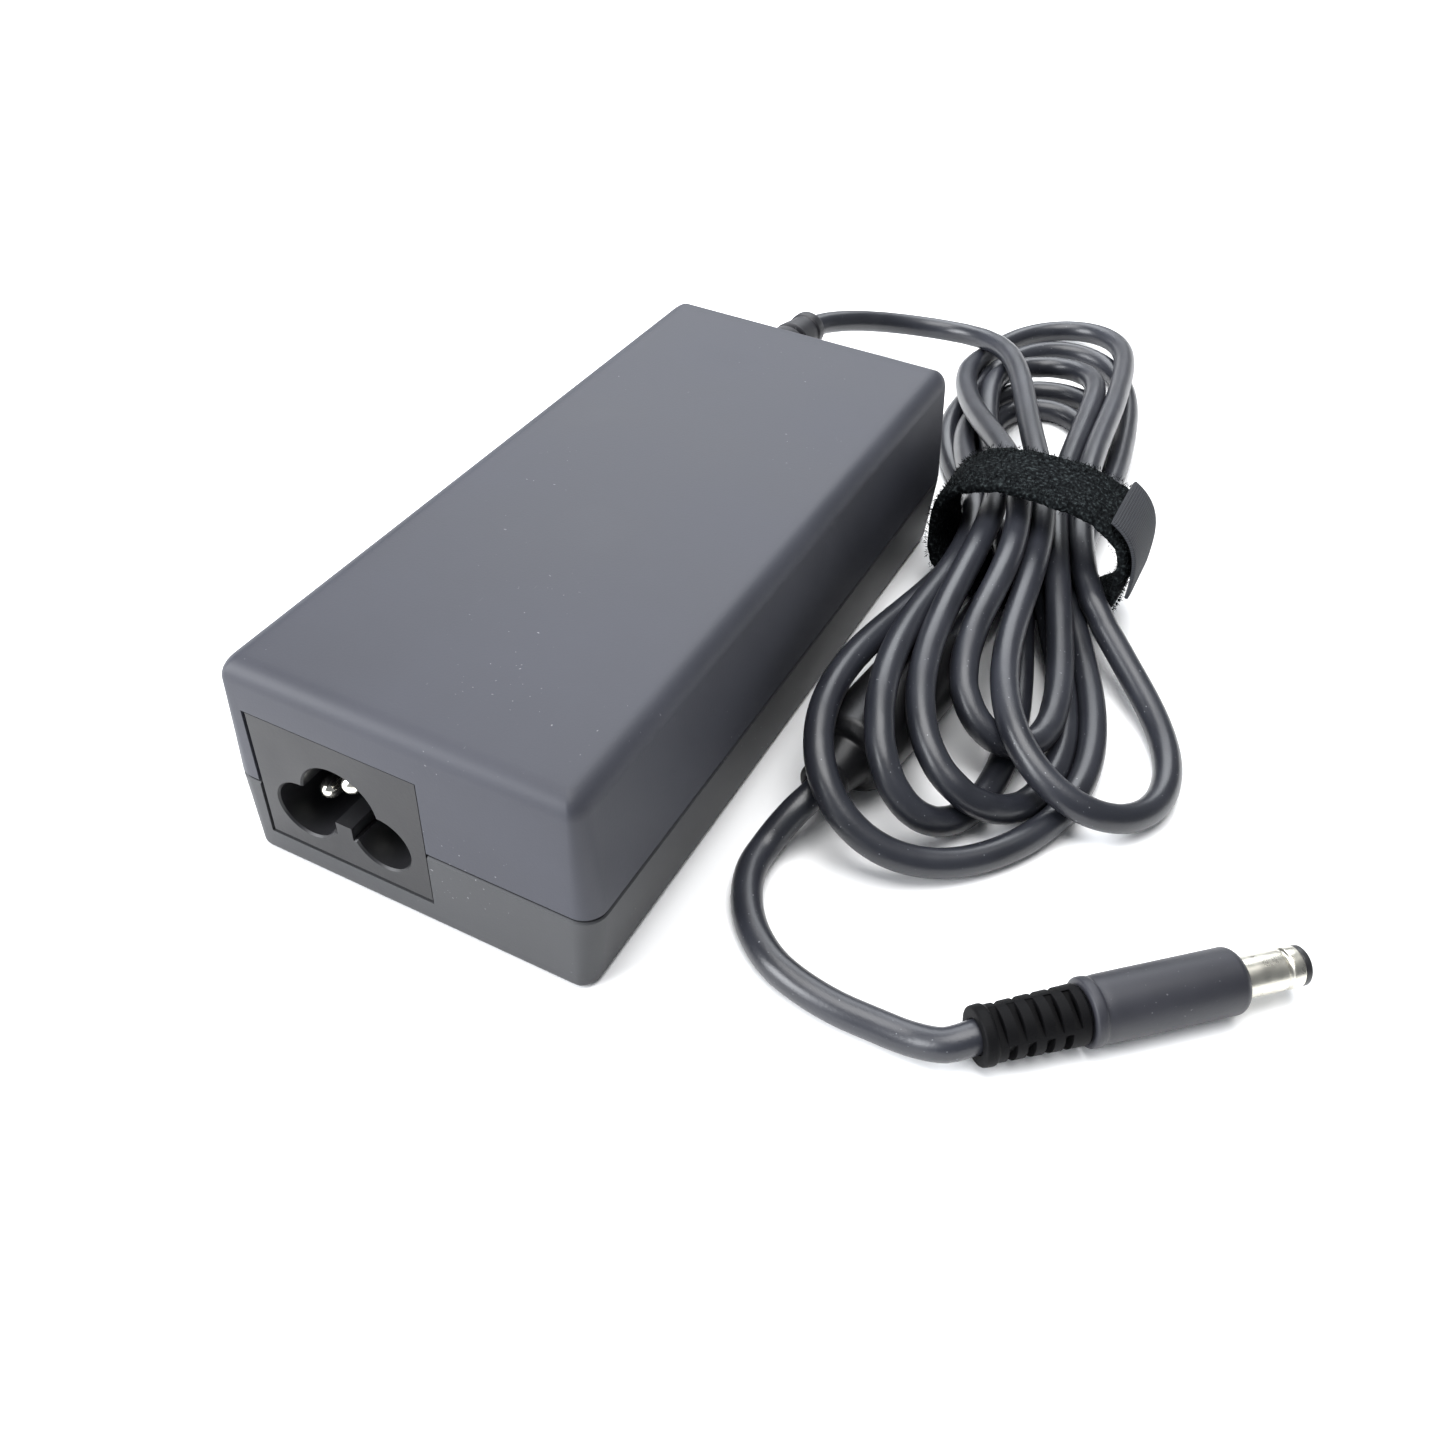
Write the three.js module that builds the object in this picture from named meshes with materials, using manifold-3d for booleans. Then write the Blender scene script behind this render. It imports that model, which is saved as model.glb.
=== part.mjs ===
// Laptop power adapter: a two-shell brick with a three-pin mains inlet at its front end, the power
// supply inside, and an output cord that is folded into a strapped hank and ends in a barrel plug.
// Millimetres, +Z up. The origin is the centre of the brick's underside; the inlet end faces -Y.

import * as THREE from 'three';
import { mergeVertices } from 'three/addons/utils/BufferGeometryUtils.js';
import Module from 'manifold-3d';

const wasm = await Module();
wasm.setup();

// ---------------------------------------------------------------- driving dimensions, mm and degrees
const length = 98.4;
const width = 46;
const height = 27.5;
const partingHeight = 11.2; // height of the joint between the two shells
const upperDraft = 5; // how far the upper side walls lean in
const lowerDraft = 4.5;
const cornerRadius = 2.7;
const topRound = 2.4;
const bottomRound = 1.2;
const wall = 2;
const lipWall = 0.9; // tongue of the lower shell that stands inside the upper one
const lipHeight = 1.6;
const fit = 0.3; // clearance between pieces that touch
const seam = 0.3; // open line between the two shells

const inletOffset = -8.2; // centre line of the inlet across the brick
const inletWidth = 22;
const inletHeight = 18;
const inletBottom = 3.6;
const inletDepth = 16.5;
const recessDepth = 13.5;
const flangeLap = 1.1; // how far the inlet's flange stands behind the wall
const pinPitch = 10; // line to neutral
const pinHeight = 9.75;
const earthRise = 4.4; // earth pin above the other two
const pinRadius = 1.2;
const pinSetback = 2.9; // pin tips behind the face
const earthSetback = 1.4;
const tailRadius = 0.6;
const tailInset = 2; // solder tails behind the inlet's back
const lobeRadius = 3.65;
const earthLobeRadius = 4.8;
const earthLobeDrop = 1.15;
const ribWidth = 2.1;
const ribTop = 10;

const labelWidth = 30;
const labelLength = 60;
const labelThickness = 0.2;

const boardThickness = 1.6;
const boardUnderside = 5;
const boardSideGap = 0.9;
const boardStart = 17.2; // behind the inlet face
const boardEndGap = 3; // ahead of the rear wall
const postRadius = 2.2;
const sheetThickness = 0.4;
const sheetStart = 46;
const outputWireRadius = 0.8;
const outputWireSpacing = 1.5; // each wire's distance from the cord's axis
const heatsinkThickness = 1.4;
const heatsinkTall = 16.6;
const heatsinkFoot = 6.5;
const caseThickness = 4.2; // of the power semiconductors
const outputCapacitorRadius = 3.6;

const reliefOffset = -13.5; // where the output cord leaves the rear wall
const reliefHeight = 12.6;
const reliefLength = 33;
const reliefRoot = 4.6;
const reliefTip = 2.7;
const reliefNeck = 3.9;
const reliefSwing = -0.4; // how far its free end stands over towards +X
const reliefDroop = 1.9; // how far its free end hangs down
const reliefFlange = 5;
const reliefFlangeThickness = 2.2;
const reliefRings = 6;
const ringPitch = 3.7;
const ringDepth = 0.7;

const cordRadius = 1.8;
const cordBore = cordRadius + fit;
const cordSides = 8;

const strapWidth = 12.2;
const strapThickness = 1.6;
const strapSpan = 28.4; // outside, along X
const strapRise = 20; // outside, along Z
const strapSquareness = 2.8; // 2 would make the ring an ellipse
const strapCentre = new THREE.Vector3(39.6, 41.8, 10);
const tabThickness = 0.8;
const tabFrom = -4; // angles round the ring where the end tab lies
const tabTo = 52;

const chokeRadius = 5.5;
const chokeLength = 24;
const chokeCollar = 5.7;
const chokeCollarRoot = 3.7;
const chokeCollarTip = 2.9;
const chokeCoreRadius = 4.2;
const chokeCoreBore = 2.3;
const chokeCoreLength = 19;
const chokeFace = new THREE.Vector3(32.9, -8.7, 5.5); // centre of its near end face
const chokeTurn = -7; // turn of its axis from +Y

const plugStart = new THREE.Vector3(59.6, -37.3, 3.7); // cord end of the boot
const plugHeading = 42.7; // its axis from +X
const bootLength = 11.4;
const bootRadius = 3.2;
const bootCollar = 1.2;
const bootSlots = 5;
const slotPitch = 2;
const slotWidth = 0.9;
const slotHalf = 2.05; // half of a slot's length across the boot
const slotTurn = 18; // how far the rows are turned from upright
const bodyLength = 18;
const bodyRadius = 3.6;
const barrelLength = 7.9;
const barrelRadius = 2.25;
const barrelBore = 1.6;
const barrelSeat = 4; // how deep the barrel sits in the body
const linerWall = 0.5;
const tipRing = 0.7;
const centrePinRadius = 0.4;

const cordCorner = [23, 49.2]; // the brick's rear right corner, which the cord's places are laid from

// The hank: centre x, centre y and two half axes of its end ovals, and of its neck in x and z.
const nearOval = [47.5, 8, 22.5, 29.5];
const nearTall = 16.4;
const farOval = [27.2, 91.8, 16.2, 38.2];
const farTall = 9.4;
const farLean = 0.1; // radians
const neckOval = [39.2, 9.9, 10.4, 7.2];

// Route of the cord that isn't in the hank, through its centre line.
const leadRoute = [
  [-13.8, 83, 10.6], [-12.7, 86.4, 10.1], [-11, 90.3, 9.3], [-9.1, 94.1, 8.3], [-6.9, 98.2, 7],
  [-4.4, 102.3, 5.8], [-1.8, 105.2, 4.8], [1.2, 107.2, 4.2], [4.2, 107.5, 4], [7, 106.4, 4.2], [9, 105, 4.7],
];
const tailRoute = [
  [36.6, 27.8, 4.2], [36.6, 23, 5.2], [36.3, 19, 5.5], [34.4, 3.5, 5.5], [32.9, -8.7, 5.5], [32.1, -15.6, 5.5],
  [31.2, -18.2, 4.8], [30.2, -20.7, 3.3], [29.6, -22.8, 2.1], [29.5, -25.8, 1.8], [30.3, -29.1, 1.8],
  [32, -32.4, 1.8], [34.3, -35.1, 1.8], [37.5, -37.4, 1.8], [41.2, -38.7, 1.8], [45.6, -39.4, 1.8],
  [50.4, -39.4, 1.8], [54, -39.4, 2.1], [57.4, -39.1, 3.1], [59.6, -37.3, 3.7], [67.3, -30.2, 3.7],
];

// ---------------------------------------------------------------- derived places
const front = -length / 2;
const back = length / 2;
const inletLeft = inletOffset - inletWidth / 2;
const inletRight = inletOffset + inletWidth / 2;
const inletTop = inletBottom + inletHeight;
const boardTop = boardUnderside + boardThickness;
const partTop = boardTop + fit; // where parts stand on the board
const roof = height - wall;
const far = 400;
const cornerShift = [width / 2 - cordCorner[0], back - cordCorner[1]];

// ---------------------------------------------------------------- geometry helpers
/** A closed triangle mesh as a solid that can be cut and joined. */
function solid(geometry) {
  const bare = geometry.clone();
  bare.deleteAttribute('normal');
  bare.deleteAttribute('uv');
  const merged = mergeVertices(bare, 1e-5);
  const mesh = new wasm.Mesh({
    numProp: 3,
    vertProperties: new Float32Array(merged.attributes.position.array),
    triVerts: new Uint32Array(merged.index.array),
  });
  return new wasm.Manifold(mesh);
}

/** The triangles of a solid as a three.js geometry. */
function surface(body) {
  const mesh = body.getMesh();
  const geometry = new THREE.BufferGeometry();
  geometry.setAttribute('position', new THREE.Float32BufferAttribute(mesh.vertProperties, 3));
  geometry.setIndex(new THREE.BufferAttribute(new Uint32Array(mesh.triVerts), 1));
  geometry.computeVertexNormals();
  return geometry;
}

function block(x0, x1, y0, y1, z0, z1) {
  const geometry = new THREE.BoxGeometry(x1 - x0, y1 - y0, z1 - z0);
  return geometry.translate((x0 + x1) / 2, (y0 + y1) / 2, (z0 + z1) / 2);
}

/** A cylinder standing on z0. */
function post(x, y, z0, z1, radius, sides = 20) {
  const geometry = new THREE.CylinderGeometry(radius, radius, z1 - z0, sides);
  return geometry.rotateX(Math.PI / 2).translate(x, y, (z0 + z1) / 2);
}

/** A cylinder lying along Y. */
function rod(x, z, y0, y1, radius, sides = 20) {
  return new THREE.CylinderGeometry(radius, radius, y1 - y0, sides).translate(x, (y0 + y1) / 2, z);
}

/** A turned piece along +Y from [radius, along] pairs, which run upwards on the outside. */
function turned(profile, sides = 24) {
  return new THREE.LatheGeometry(profile.map(([r, s]) => new THREE.Vector2(r, s)), sides);
}

/** An outline in X and Z, pushed along Y from y0 to y1. */
function slab(shape, y0, y1, curveSegments = 12) {
  const geometry = new THREE.ExtrudeGeometry(shape, { depth: y1 - y0, bevelEnabled: false, curveSegments });
  return geometry.rotateX(Math.PI / 2).translate(0, y1, 0);
}

/** An outline in X and Y, pushed up from z0 to z1. */
function plate(shape, z0, z1, curveSegments = 12) {
  const options = { depth: z1 - z0, bevelEnabled: false, curveSegments };
  return new THREE.ExtrudeGeometry(shape, options).translate(0, 0, z0);
}

function roundedOutline(x0, x1, y0, y1, radius) {
  const shape = new THREE.Shape();
  shape.moveTo(x0 + radius, y0);
  shape.lineTo(x1 - radius, y0);
  shape.absarc(x1 - radius, y0 + radius, radius, -Math.PI / 2, 0);
  shape.lineTo(x1, y1 - radius);
  shape.absarc(x1 - radius, y1 - radius, radius, 0, Math.PI / 2);
  shape.lineTo(x0 + radius, y1);
  shape.absarc(x0 + radius, y1 - radius, radius, Math.PI / 2, Math.PI);
  shape.lineTo(x0, y0 + radius);
  shape.absarc(x0 + radius, y0 + radius, radius, Math.PI, Math.PI * 1.5);
  return shape;
}

/** A round tube of the cord's size through the given points. */
function cordTube(points) {
  const curve = new THREE.CatmullRomCurve3(points.map((p) => new THREE.Vector3(...p)), false, 'centripetal');
  const section = new THREE.Shape();
  section.absarc(0, 0, cordRadius, 0, Math.PI * 2);
  const steps = Math.ceil(curve.getLength() / (cordRadius * 2.5));
  const options = { steps, extrudePath: curve, curveSegments: cordSides, bevelEnabled: false };
  return new THREE.ExtrudeGeometry(section, options);
}

/** How far each shell's side walls stand in from the brick's widest line, at a height. */
const upperLean = (z) => (z - partingHeight) * Math.tan(THREE.MathUtils.degToRad(upperDraft));
const lowerLean = (z) => (partingHeight - z) * Math.tan(THREE.MathUtils.degToRad(lowerDraft));

/**
 * The brick's outer form, or its form a given inset further in. The side walls lean in away from the
 * joint; on the two end faces the corner's edge stays upright, so the corner narrows as it leaves the
 * joint.
 */
function brick(inset, z0, z1, round, lean) {
  const half = width / 2 - inset;
  const radius = cornerRadius;
  const shape = roundedOutline(-half, half, front + inset, back - inset, radius);
  const geometry = new THREE.ExtrudeGeometry(shape, {
    depth: z1 - z0 - 2 * round,
    bevelEnabled: true,
    bevelSize: round,
    bevelOffset: -round,
    bevelThickness: round,
    bevelSegments: 4,
    curveSegments: 5,
  }).translate(0, 0, z0 + round);
  const spots = geometry.attributes.position;
  for (let i = 0; i < spots.count; i += 1) {
    const x = spots.getX(i);
    const y = spots.getY(i);
    const fromEnd = Math.min(y - front - inset, back - inset - y) / radius;
    const corner = THREE.MathUtils.clamp((Math.abs(x) - half + radius) / radius, 0, 1);
    const side = THREE.MathUtils.smoothstep(fromEnd, 0, 1) * Math.min(1, Math.abs(x) / (half - 2 * radius));
    spots.setX(i, x - Math.sign(x) * lean(spots.getZ(i)) * Math.max(corner, side));
  }
  return solid(geometry);
}

// ---------------------------------------------------------------- housing
function reliefHole() {
  return solid(rod(reliefOffset, reliefHeight, back - wall - 1, back + 1, reliefNeck + fit, 28));
}

/** The inlet's hole through the front wall, with the room that its flange needs behind the wall. */
function inletCutOut() {
  const hole = block(inletLeft, inletRight, front - 1, front + wall + lipWall + 1, inletBottom, inletTop);
  const room = block(inletLeft, inletRight, front + wall, front + inletDepth, inletBottom - flangeLap - fit,
    inletTop + flangeLap + fit);
  return solid(hole).add(solid(room));
}

function topShell() {
  const outer = brick(0, -topRound, height, topRound, upperLean);
  const cavity = brick(wall, -topRound, roof, topRound - 1, upperLean);
  const rebate = brick(wall - lipWall - fit, -topRound, partingHeight + lipHeight + fit, 0.1, upperLean);
  const below = solid(block(-far, far, -far, far, -far, partingHeight + seam / 2));
  const shell = outer.subtract(cavity).subtract(rebate).subtract(below);
  return shell.subtract(inletCutOut()).subtract(reliefHole());
}

function boardPosts() {
  const x = width / 2 - wall - 6;
  const ys = [front + boardStart + 5, back - wall - boardEndGap - 6];
  return ys.flatMap((y) => [-x, x].map((px) => post(px, y, wall - 0.5, boardUnderside - fit, postRadius, 12)));
}

function bottomShell() {
  const outer = brick(0, 0, height, bottomRound, lowerLean);
  const above = solid(block(-far, far, -far, far, partingHeight - seam / 2, far));
  const cavity = brick(wall, wall, height, bottomRound, lowerLean);
  const lip = brick(wall - lipWall, partingHeight - 2, partingHeight + lipHeight, 0.1, upperLean)
    .subtract(brick(wall, 0, height, topRound, upperLean));
  const [labelX, labelY] = [labelWidth / 2 + fit, labelLength / 2 + fit];
  const label = block(-labelX, labelX, -labelY, labelY, -1, labelThickness + fit);
  let shell = outer.subtract(above).add(lip).subtract(cavity).subtract(solid(label));
  boardPosts().forEach((item) => { shell = shell.add(solid(item)); });
  return shell.subtract(inletCutOut()).subtract(reliefHole());
}

function ratingLabel() {
  const shape = roundedOutline(-labelWidth / 2, labelWidth / 2, -labelLength / 2, labelLength / 2, 1.5);
  return plate(shape, 0.02, labelThickness, 3);
}

// ---------------------------------------------------------------- mains inlet
const pinPlaces = [
  ['line_pin', inletOffset - pinPitch / 2, pinHeight, pinSetback],
  ['neutral_pin', inletOffset + pinPitch / 2, pinHeight, pinSetback],
  ['earth_pin', inletOffset, pinHeight + earthRise, earthSetback],
];

function cloverleaf() {
  const depth0 = front - 1;
  const depth1 = front + recessDepth;
  const left = solid(rod(inletOffset - pinPitch / 2, pinHeight, depth0, depth1, lobeRadius, 28));
  const right = solid(rod(inletOffset + pinPitch / 2, pinHeight, depth0, depth1, lobeRadius, 28));
  const earthZ = pinHeight + earthRise - earthLobeDrop;
  const top = solid(rod(inletOffset, earthZ, depth0, depth1, earthLobeRadius, 32));
  const rib = block(inletOffset - ribWidth / 2, inletOffset + ribWidth / 2, -far, far, 0, ribTop);
  return left.add(right).add(top).subtract(solid(rib));
}

function inletBody() {
  const face = front + 0.05;
  const behind = front + wall + fit;
  const panel = block(inletLeft + fit, inletRight - fit, face, behind, inletBottom + fit, inletTop - fit);
  const flange = block(inletLeft + fit, inletRight - fit, behind - 0.1, behind + 1.6,
    inletBottom - flangeLap, inletTop + flangeLap);
  const barrel = block(inletLeft + 1.6, inletRight - 1.6, front + wall + 1, front + inletDepth,
    inletBottom + 1.2, inletTop - 1.2);
  let body = solid(panel).add(solid(flange)).add(solid(barrel)).subtract(cloverleaf());
  pinPlaces.forEach(([, x, z]) => {
    body = body.subtract(solid(rod(x, z, front + recessDepth - 1, front + inletDepth + 1, pinRadius + fit, 16)));
  });
  return body;
}

/** A contact pin with a domed tip, and its solder tail down through the board. */
function inletPin(x, z, setback) {
  const start = front + setback;
  const end = front + inletDepth + tailInset + tailRadius;
  const steps = 4;
  const dome = [...Array(steps + 1).keys()].map((i) => {
    const angle = (i / steps) * (Math.PI / 2);
    return [pinRadius * Math.sin(angle), start + pinRadius * (1 - Math.cos(angle))];
  });
  const shaft = turned([...dome, [pinRadius, end], [0, end]], 16).translate(x, 0, z);
  const tail = post(x, end - tailRadius, boardUnderside - 0.8, z, tailRadius, 10);
  return solid(shaft).add(solid(tail));
}

// ---------------------------------------------------------------- circuit board and what stands on it
function circuitBoard() {
  const half = width / 2 - wall - boardSideGap - lowerLean(boardUnderside);
  const end = back - wall - boardEndGap;
  let board = solid(block(-half, half, front + boardStart, end, boardUnderside, boardTop));
  pinPlaces.forEach(([, x]) => {
    const y = front + inletDepth + tailInset;
    board = board.subtract(solid(post(x, y, boardUnderside - 1, boardTop + 1, tailRadius + fit, 12)));
  });
  return board;
}

const standing = (x, y, radius, tall, sides = 16) => post(x, front + y, partTop, partTop + tall, radius, sides);

function box(x, y, wide, deep, tall, lift = 0) {
  const y0 = front + y - deep / 2;
  return block(x - wide / 2, x + wide / 2, y0, y0 + deep, partTop + lift, partTop + lift + tall);
}

/** A round capacitor lying along Y. */
function lyingCapacitor() {
  const radius = 8;
  const end = 23.8;
  const profile = [[0, 0], [radius - 0.8, 0], [radius, 0.8], [radius, 2], [radius - 0.5, 2.6], [radius, 3.2],
    [radius, end - 0.6], [radius - 0.6, end], [0, end]];
  return turned(profile, 20).translate(9.2, front + 47.5, partTop + radius);
}

const chokeRing = { x: -6.5, y: 38.5, outer: 7, inner: 4, thick: 6, wire: 1.2 };

function ringAlongY(outer, inner, thick, from = 0, to = Math.PI * 2) {
  const shape = new THREE.Shape();
  shape.absarc(0, 0, outer, from, to, false);
  if (to - from < Math.PI * 2 - 0.01) {
    shape.absarc(0, 0, inner, to, from, true);
  } else {
    const hole = new THREE.Path();
    hole.absarc(0, 0, inner, 0, Math.PI * 2, true);
    shape.holes.push(hole);
  }
  const z = partTop + chokeRing.outer + chokeRing.wire;
  return slab(shape, -thick / 2, thick / 2, 14).translate(chokeRing.x, front + chokeRing.y, z);
}

const filterCore = () => ringAlongY(chokeRing.outer, chokeRing.inner, chokeRing.thick);

/** The turns of wire on one half of the filter ring, as a sleeve clear of the core. */
function filterWinding(middle) {
  const { outer, inner, thick, wire } = chokeRing;
  const spread = Math.PI * 0.36;
  const sleeve = ringAlongY(outer + wire, inner - wire, thick + 2 * wire, middle - spread, middle + spread);
  return solid(sleeve).subtract(solid(ringAlongY(outer + fit, inner - fit, thick + 2 * fit)));
}

const transformer = { x: 1.2, y: 80, wide: 22, deep: 16, thick: 7, leg: 3.6, coilTall: 14.4 };

function transformerCore() {
  const { x, y, wide, deep, thick, leg, coilTall } = transformer;
  const lift = (coilTall - thick) / 2;
  const windowWide = (wide - 4 * leg) / 2;
  let core = solid(box(x, y, wide, deep, thick, lift));
  [-1, 1].forEach((side) => {
    const middle = x + side * (leg + windowWide / 2);
    core = core.subtract(solid(box(middle, y, windowWide, deep - 2 * leg, far, lift - far / 2)));
  });
  return core;
}

function transformerCoil() {
  const { x, y, wide, deep, thick, leg, coilTall } = transformer;
  const coilWide = 2 * leg + (wide - 4 * leg) - 2 * fit;
  const lift = (coilTall - thick) / 2;
  const coilDeep = deep - 2 * leg - 2 * fit;
  const coil = solid(box(x, y, coilWide, coilDeep, coilTall));
  return coil.subtract(solid(box(x, y, 2 * leg + 2 * fit, deep, thick + 2 * fit, lift - fit)));
}

/** Half the width between the sheet's side flaps, then the places of the parts that stand against them. */
const sheetHalf = width / 2 - wall - upperLean(roof) - 0.8;
const heatsinkFace = sheetHalf - sheetThickness - 0.4;
const capacitorSide = sheetHalf - sheetThickness - outputCapacitorRadius - 0.2;
const caseMiddle = heatsinkFace - heatsinkThickness - 0.5 - caseThickness / 2;

/** An aluminium plate along one side with its top turned in over the part it cools. */
function heatsink(side, y0, y1) {
  const top = partTop + heatsinkTall;
  const face = heatsinkFace;
  const upright = block(face - heatsinkThickness, face, front + y0, front + y1, partTop, top - 0.2);
  const ledge = block(face - heatsinkFoot, face, front + y0, front + y1, top - 1.2, top);
  const body = surface(solid(upright).add(solid(ledge)));
  return side > 0 ? body : surface(solid(body).mirror([1, 0, 0]));
}

/** A power semiconductor beside its heatsink: the moulded case on three legs. */
function powerPackage(side, y) {
  const x = side * caseMiddle;
  const legs = [-2.5, 0, 2.5].map((dy) => solid(block(x - 0.4, x + 0.4, front + y + dy - 0.4,
    front + y + dy + 0.4, partTop, partTop + 4.2)));
  let body = solid(box(x, y, caseThickness, 10, 9, 4));
  legs.forEach((leg) => { body = body.add(leg); });
  return body;
}

function insulatingSheet() {
  const half = sheetHalf;
  const shape = new THREE.Shape();
  const top = roof - 0.6;
  const low = partTop + 0.6;
  const thin = sheetThickness;
  shape.moveTo(-half, low).lineTo(-half, top).lineTo(half, top).lineTo(half, low);
  shape.lineTo(half - thin, low).lineTo(half - thin, top - thin);
  shape.lineTo(-half + thin, top - thin).lineTo(-half + thin, low);
  shape.closePath();
  return slab(shape, front + sheetStart, back - wall - boardEndGap - 1);
}

/** One of the two short wires from the cord's inner end down to the board. */
function outputWire(side) {
  const x = reliefOffset + side * outputWireSpacing;
  const start = back - wall - fit - reliefFlangeThickness - fit;
  const spread = x + side * 0.6;
  const points = [[x, start, reliefHeight], [x + side * 0.4, start - 2.4, reliefHeight - 0.8],
    [spread, start - 3.6, reliefHeight - 2.6], [spread, start - 3.8, partTop]];
  const curve = new THREE.CatmullRomCurve3(points.map((p) => new THREE.Vector3(...p)));
  const section = new THREE.Shape();
  section.absarc(0, 0, outputWireRadius, 0, Math.PI * 2);
  const options = { steps: 8, extrudePath: curve, curveSegments: 4, bevelEnabled: false };
  return new THREE.ExtrudeGeometry(section, options);
}

// ---------------------------------------------------------------- output cord and what is on it
/** Moves a piece along with the brick's rear right corner. */
const besideBrick = (geometry) => geometry.translate(cornerShift[0], cornerShift[1], 0);

/** The lead starts at the strain relief and ends at the hank, so only its far end follows the brick's side. */
function cordLead() {
  const last = leadRoute.length - 1;
  return cordTube(leadRoute.map(([x, y, z], i) => [x + (cornerShift[0] * i) / last, y + cornerShift[1], z]));
}

/** The moulded relief clamped in the rear wall: flange, neck, ringed taper and end collar, drooping a little. */
function strainRelief() {
  const inner = -wall - fit;
  const root = 3; // the taper starts this far out from the wall
  const tip = reliefLength;
  const collar = reliefTip + 0.3;
  const radiusAt = (s) => THREE.MathUtils.lerp(reliefRoot, reliefTip, (s - root) / (tip - root));
  const taper = [...Array(reliefRings).keys()].flatMap((i) => {
    const s = root + 2 + i * ringPitch;
    const high = radiusAt(s);
    const low = high - ringDepth;
    return [[high, s], [low, s + 0.2], [low, s + 1.2], [high, s + 1.4]];
  });
  const profile = [[0, inner - reliefFlangeThickness], [reliefFlange, inner - reliefFlangeThickness],
    [reliefFlange, inner], [reliefNeck, inner], [reliefNeck, fit], [reliefRoot + 0.5, fit], [reliefRoot + 0.5, 2.4],
    [radiusAt(root), root], ...taper, [reliefTip, tip - 2.6], [collar, tip - 2.3], [collar, tip - 0.4],
    [reliefTip, tip], [0, tip]];
  const geometry = turned(profile, 20);
  const spots = geometry.attributes.position;
  for (let i = 0; i < spots.count; i += 1) {
    const share = (Math.max(0, spots.getY(i)) / tip) ** 2;
    spots.setX(i, spots.getX(i) + reliefSwing * share);
    spots.setZ(i, spots.getZ(i) - reliefDroop * share);
  }
  return geometry.translate(reliefOffset, back, reliefHeight);
}

/** The hank's two ends as leaning ovals, joined by a neck through the strap, with room for the choke. */
function cordHank() {
  const strapFront = strapCentre.y - strapWidth / 2 - fit;
  const strapBack = strapCentre.y + strapWidth / 2 + fit;
  const nearEnd = new THREE.Shape();
  nearEnd.absellipse(...nearOval, 0, Math.PI * 2, false, 0);
  const farEnd = new THREE.Shape();
  farEnd.absellipse(...farOval, 0, Math.PI * 2, false, farLean);
  const pastFront = solid(block(-far, far, strapFront, far, -far, far));
  const beforeBack = solid(block(-far, far, -far, strapBack, -far, far));
  const near = solid(plate(nearEnd, 0, nearTall, 14)).subtract(pastFront);
  const distant = solid(plate(farEnd, 0, farTall, 14)).subtract(beforeBack);
  const neckOutline = new THREE.Shape();
  neckOutline.absellipse(...neckOval, 0, Math.PI * 2, false, 0);
  const neck = slab(neckOutline, strapFront - 8, strapBack + 16);
  const tunnel = block(20, chokeFace.x + 8.7, -60, 19.4, -1, 2 * chokeRadius + 1.2);
  const tailSlot = block(tailRoute[0][0] - 5.5, tailRoute[0][0] + 3.5, 18, tailRoute[0][1] + 2 * fit, -1, 9);
  return near.add(distant).add(solid(neck)).subtract(solid(tunnel)).subtract(solid(tailSlot));
}

const placeStrap = (geometry) => geometry.translate(strapCentre.x, strapCentre.y, strapCentre.z);

/** Points round the strap's squared oval, grown outwards, from one angle to another in degrees. */
function ringPoints(grow, from, to, steps) {
  const power = 2 / strapSquareness;
  const stretch = (value, half) => Math.sign(value) * Math.abs(value) ** power * (half + grow);
  return [...Array(steps).keys()].map((i) => {
    const angle = THREE.MathUtils.degToRad(from + ((to - from) * i) / (steps - 1));
    const [x, z] = [stretch(Math.cos(angle), strapSpan / 2), stretch(Math.sin(angle), strapRise / 2)];
    return new THREE.Vector2(x, z);
  });
}

/** The strap as a ring of one width and thickness. */
function hookLoopStrap() {
  const ring = new THREE.Shape(ringPoints(0, 0, 360, 73).slice(1));
  ring.holes.push(new THREE.Path(ringPoints(-strapThickness, 0, 360, 73).slice(1)));
  return placeStrap(slab(ring, -strapWidth / 2, strapWidth / 2));
}

/** The woven end tab, lying on the outside of the ring where it turns down its free side. */
function strapEndTab() {
  const inside = ringPoints(fit, tabFrom, tabTo, 24);
  const outside = ringPoints(fit + tabThickness, tabTo, tabFrom, 24);
  const shape = new THREE.Shape([...inside, ...outside]);
  return placeStrap(slab(shape, -strapWidth / 2 + 0.2, strapWidth / 2 - 0.2));
}

/** Turns a piece made along +Y from the choke's near face into its place. */
const placeChoke = (geometry) => geometry.rotateZ(THREE.MathUtils.degToRad(chokeTurn))
  .translate(chokeFace.x, chokeFace.y, chokeFace.z);

function chokeCover() {
  const cavity0 = (chokeLength - chokeCoreLength) / 2 - fit;
  const cavity1 = chokeLength - cavity0;
  const room = chokeCoreRadius + fit;
  const soft = 1.2;
  const r = chokeRadius;
  const end = chokeLength;
  const tip = chokeCollarTip;
  const profile = [[cordBore, -chokeCollar], [tip, -chokeCollar], [tip + 0.25, -chokeCollar + 0.4],
    [chokeCollarRoot, -0.4], [r - soft, 0], [r - 0.35, 0.35], [r, soft], [r, end - soft],
    [r - 0.35, end - 0.35], [r - soft, end], [tip, end + 0.4], [tip, end + 1.8], [cordBore, end + 1.8],
    [cordBore, cavity1], [room, cavity1], [room, cavity0], [cordBore, cavity0], [cordBore, -chokeCollar]];
  return placeChoke(turned(profile, 24));
}

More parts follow.
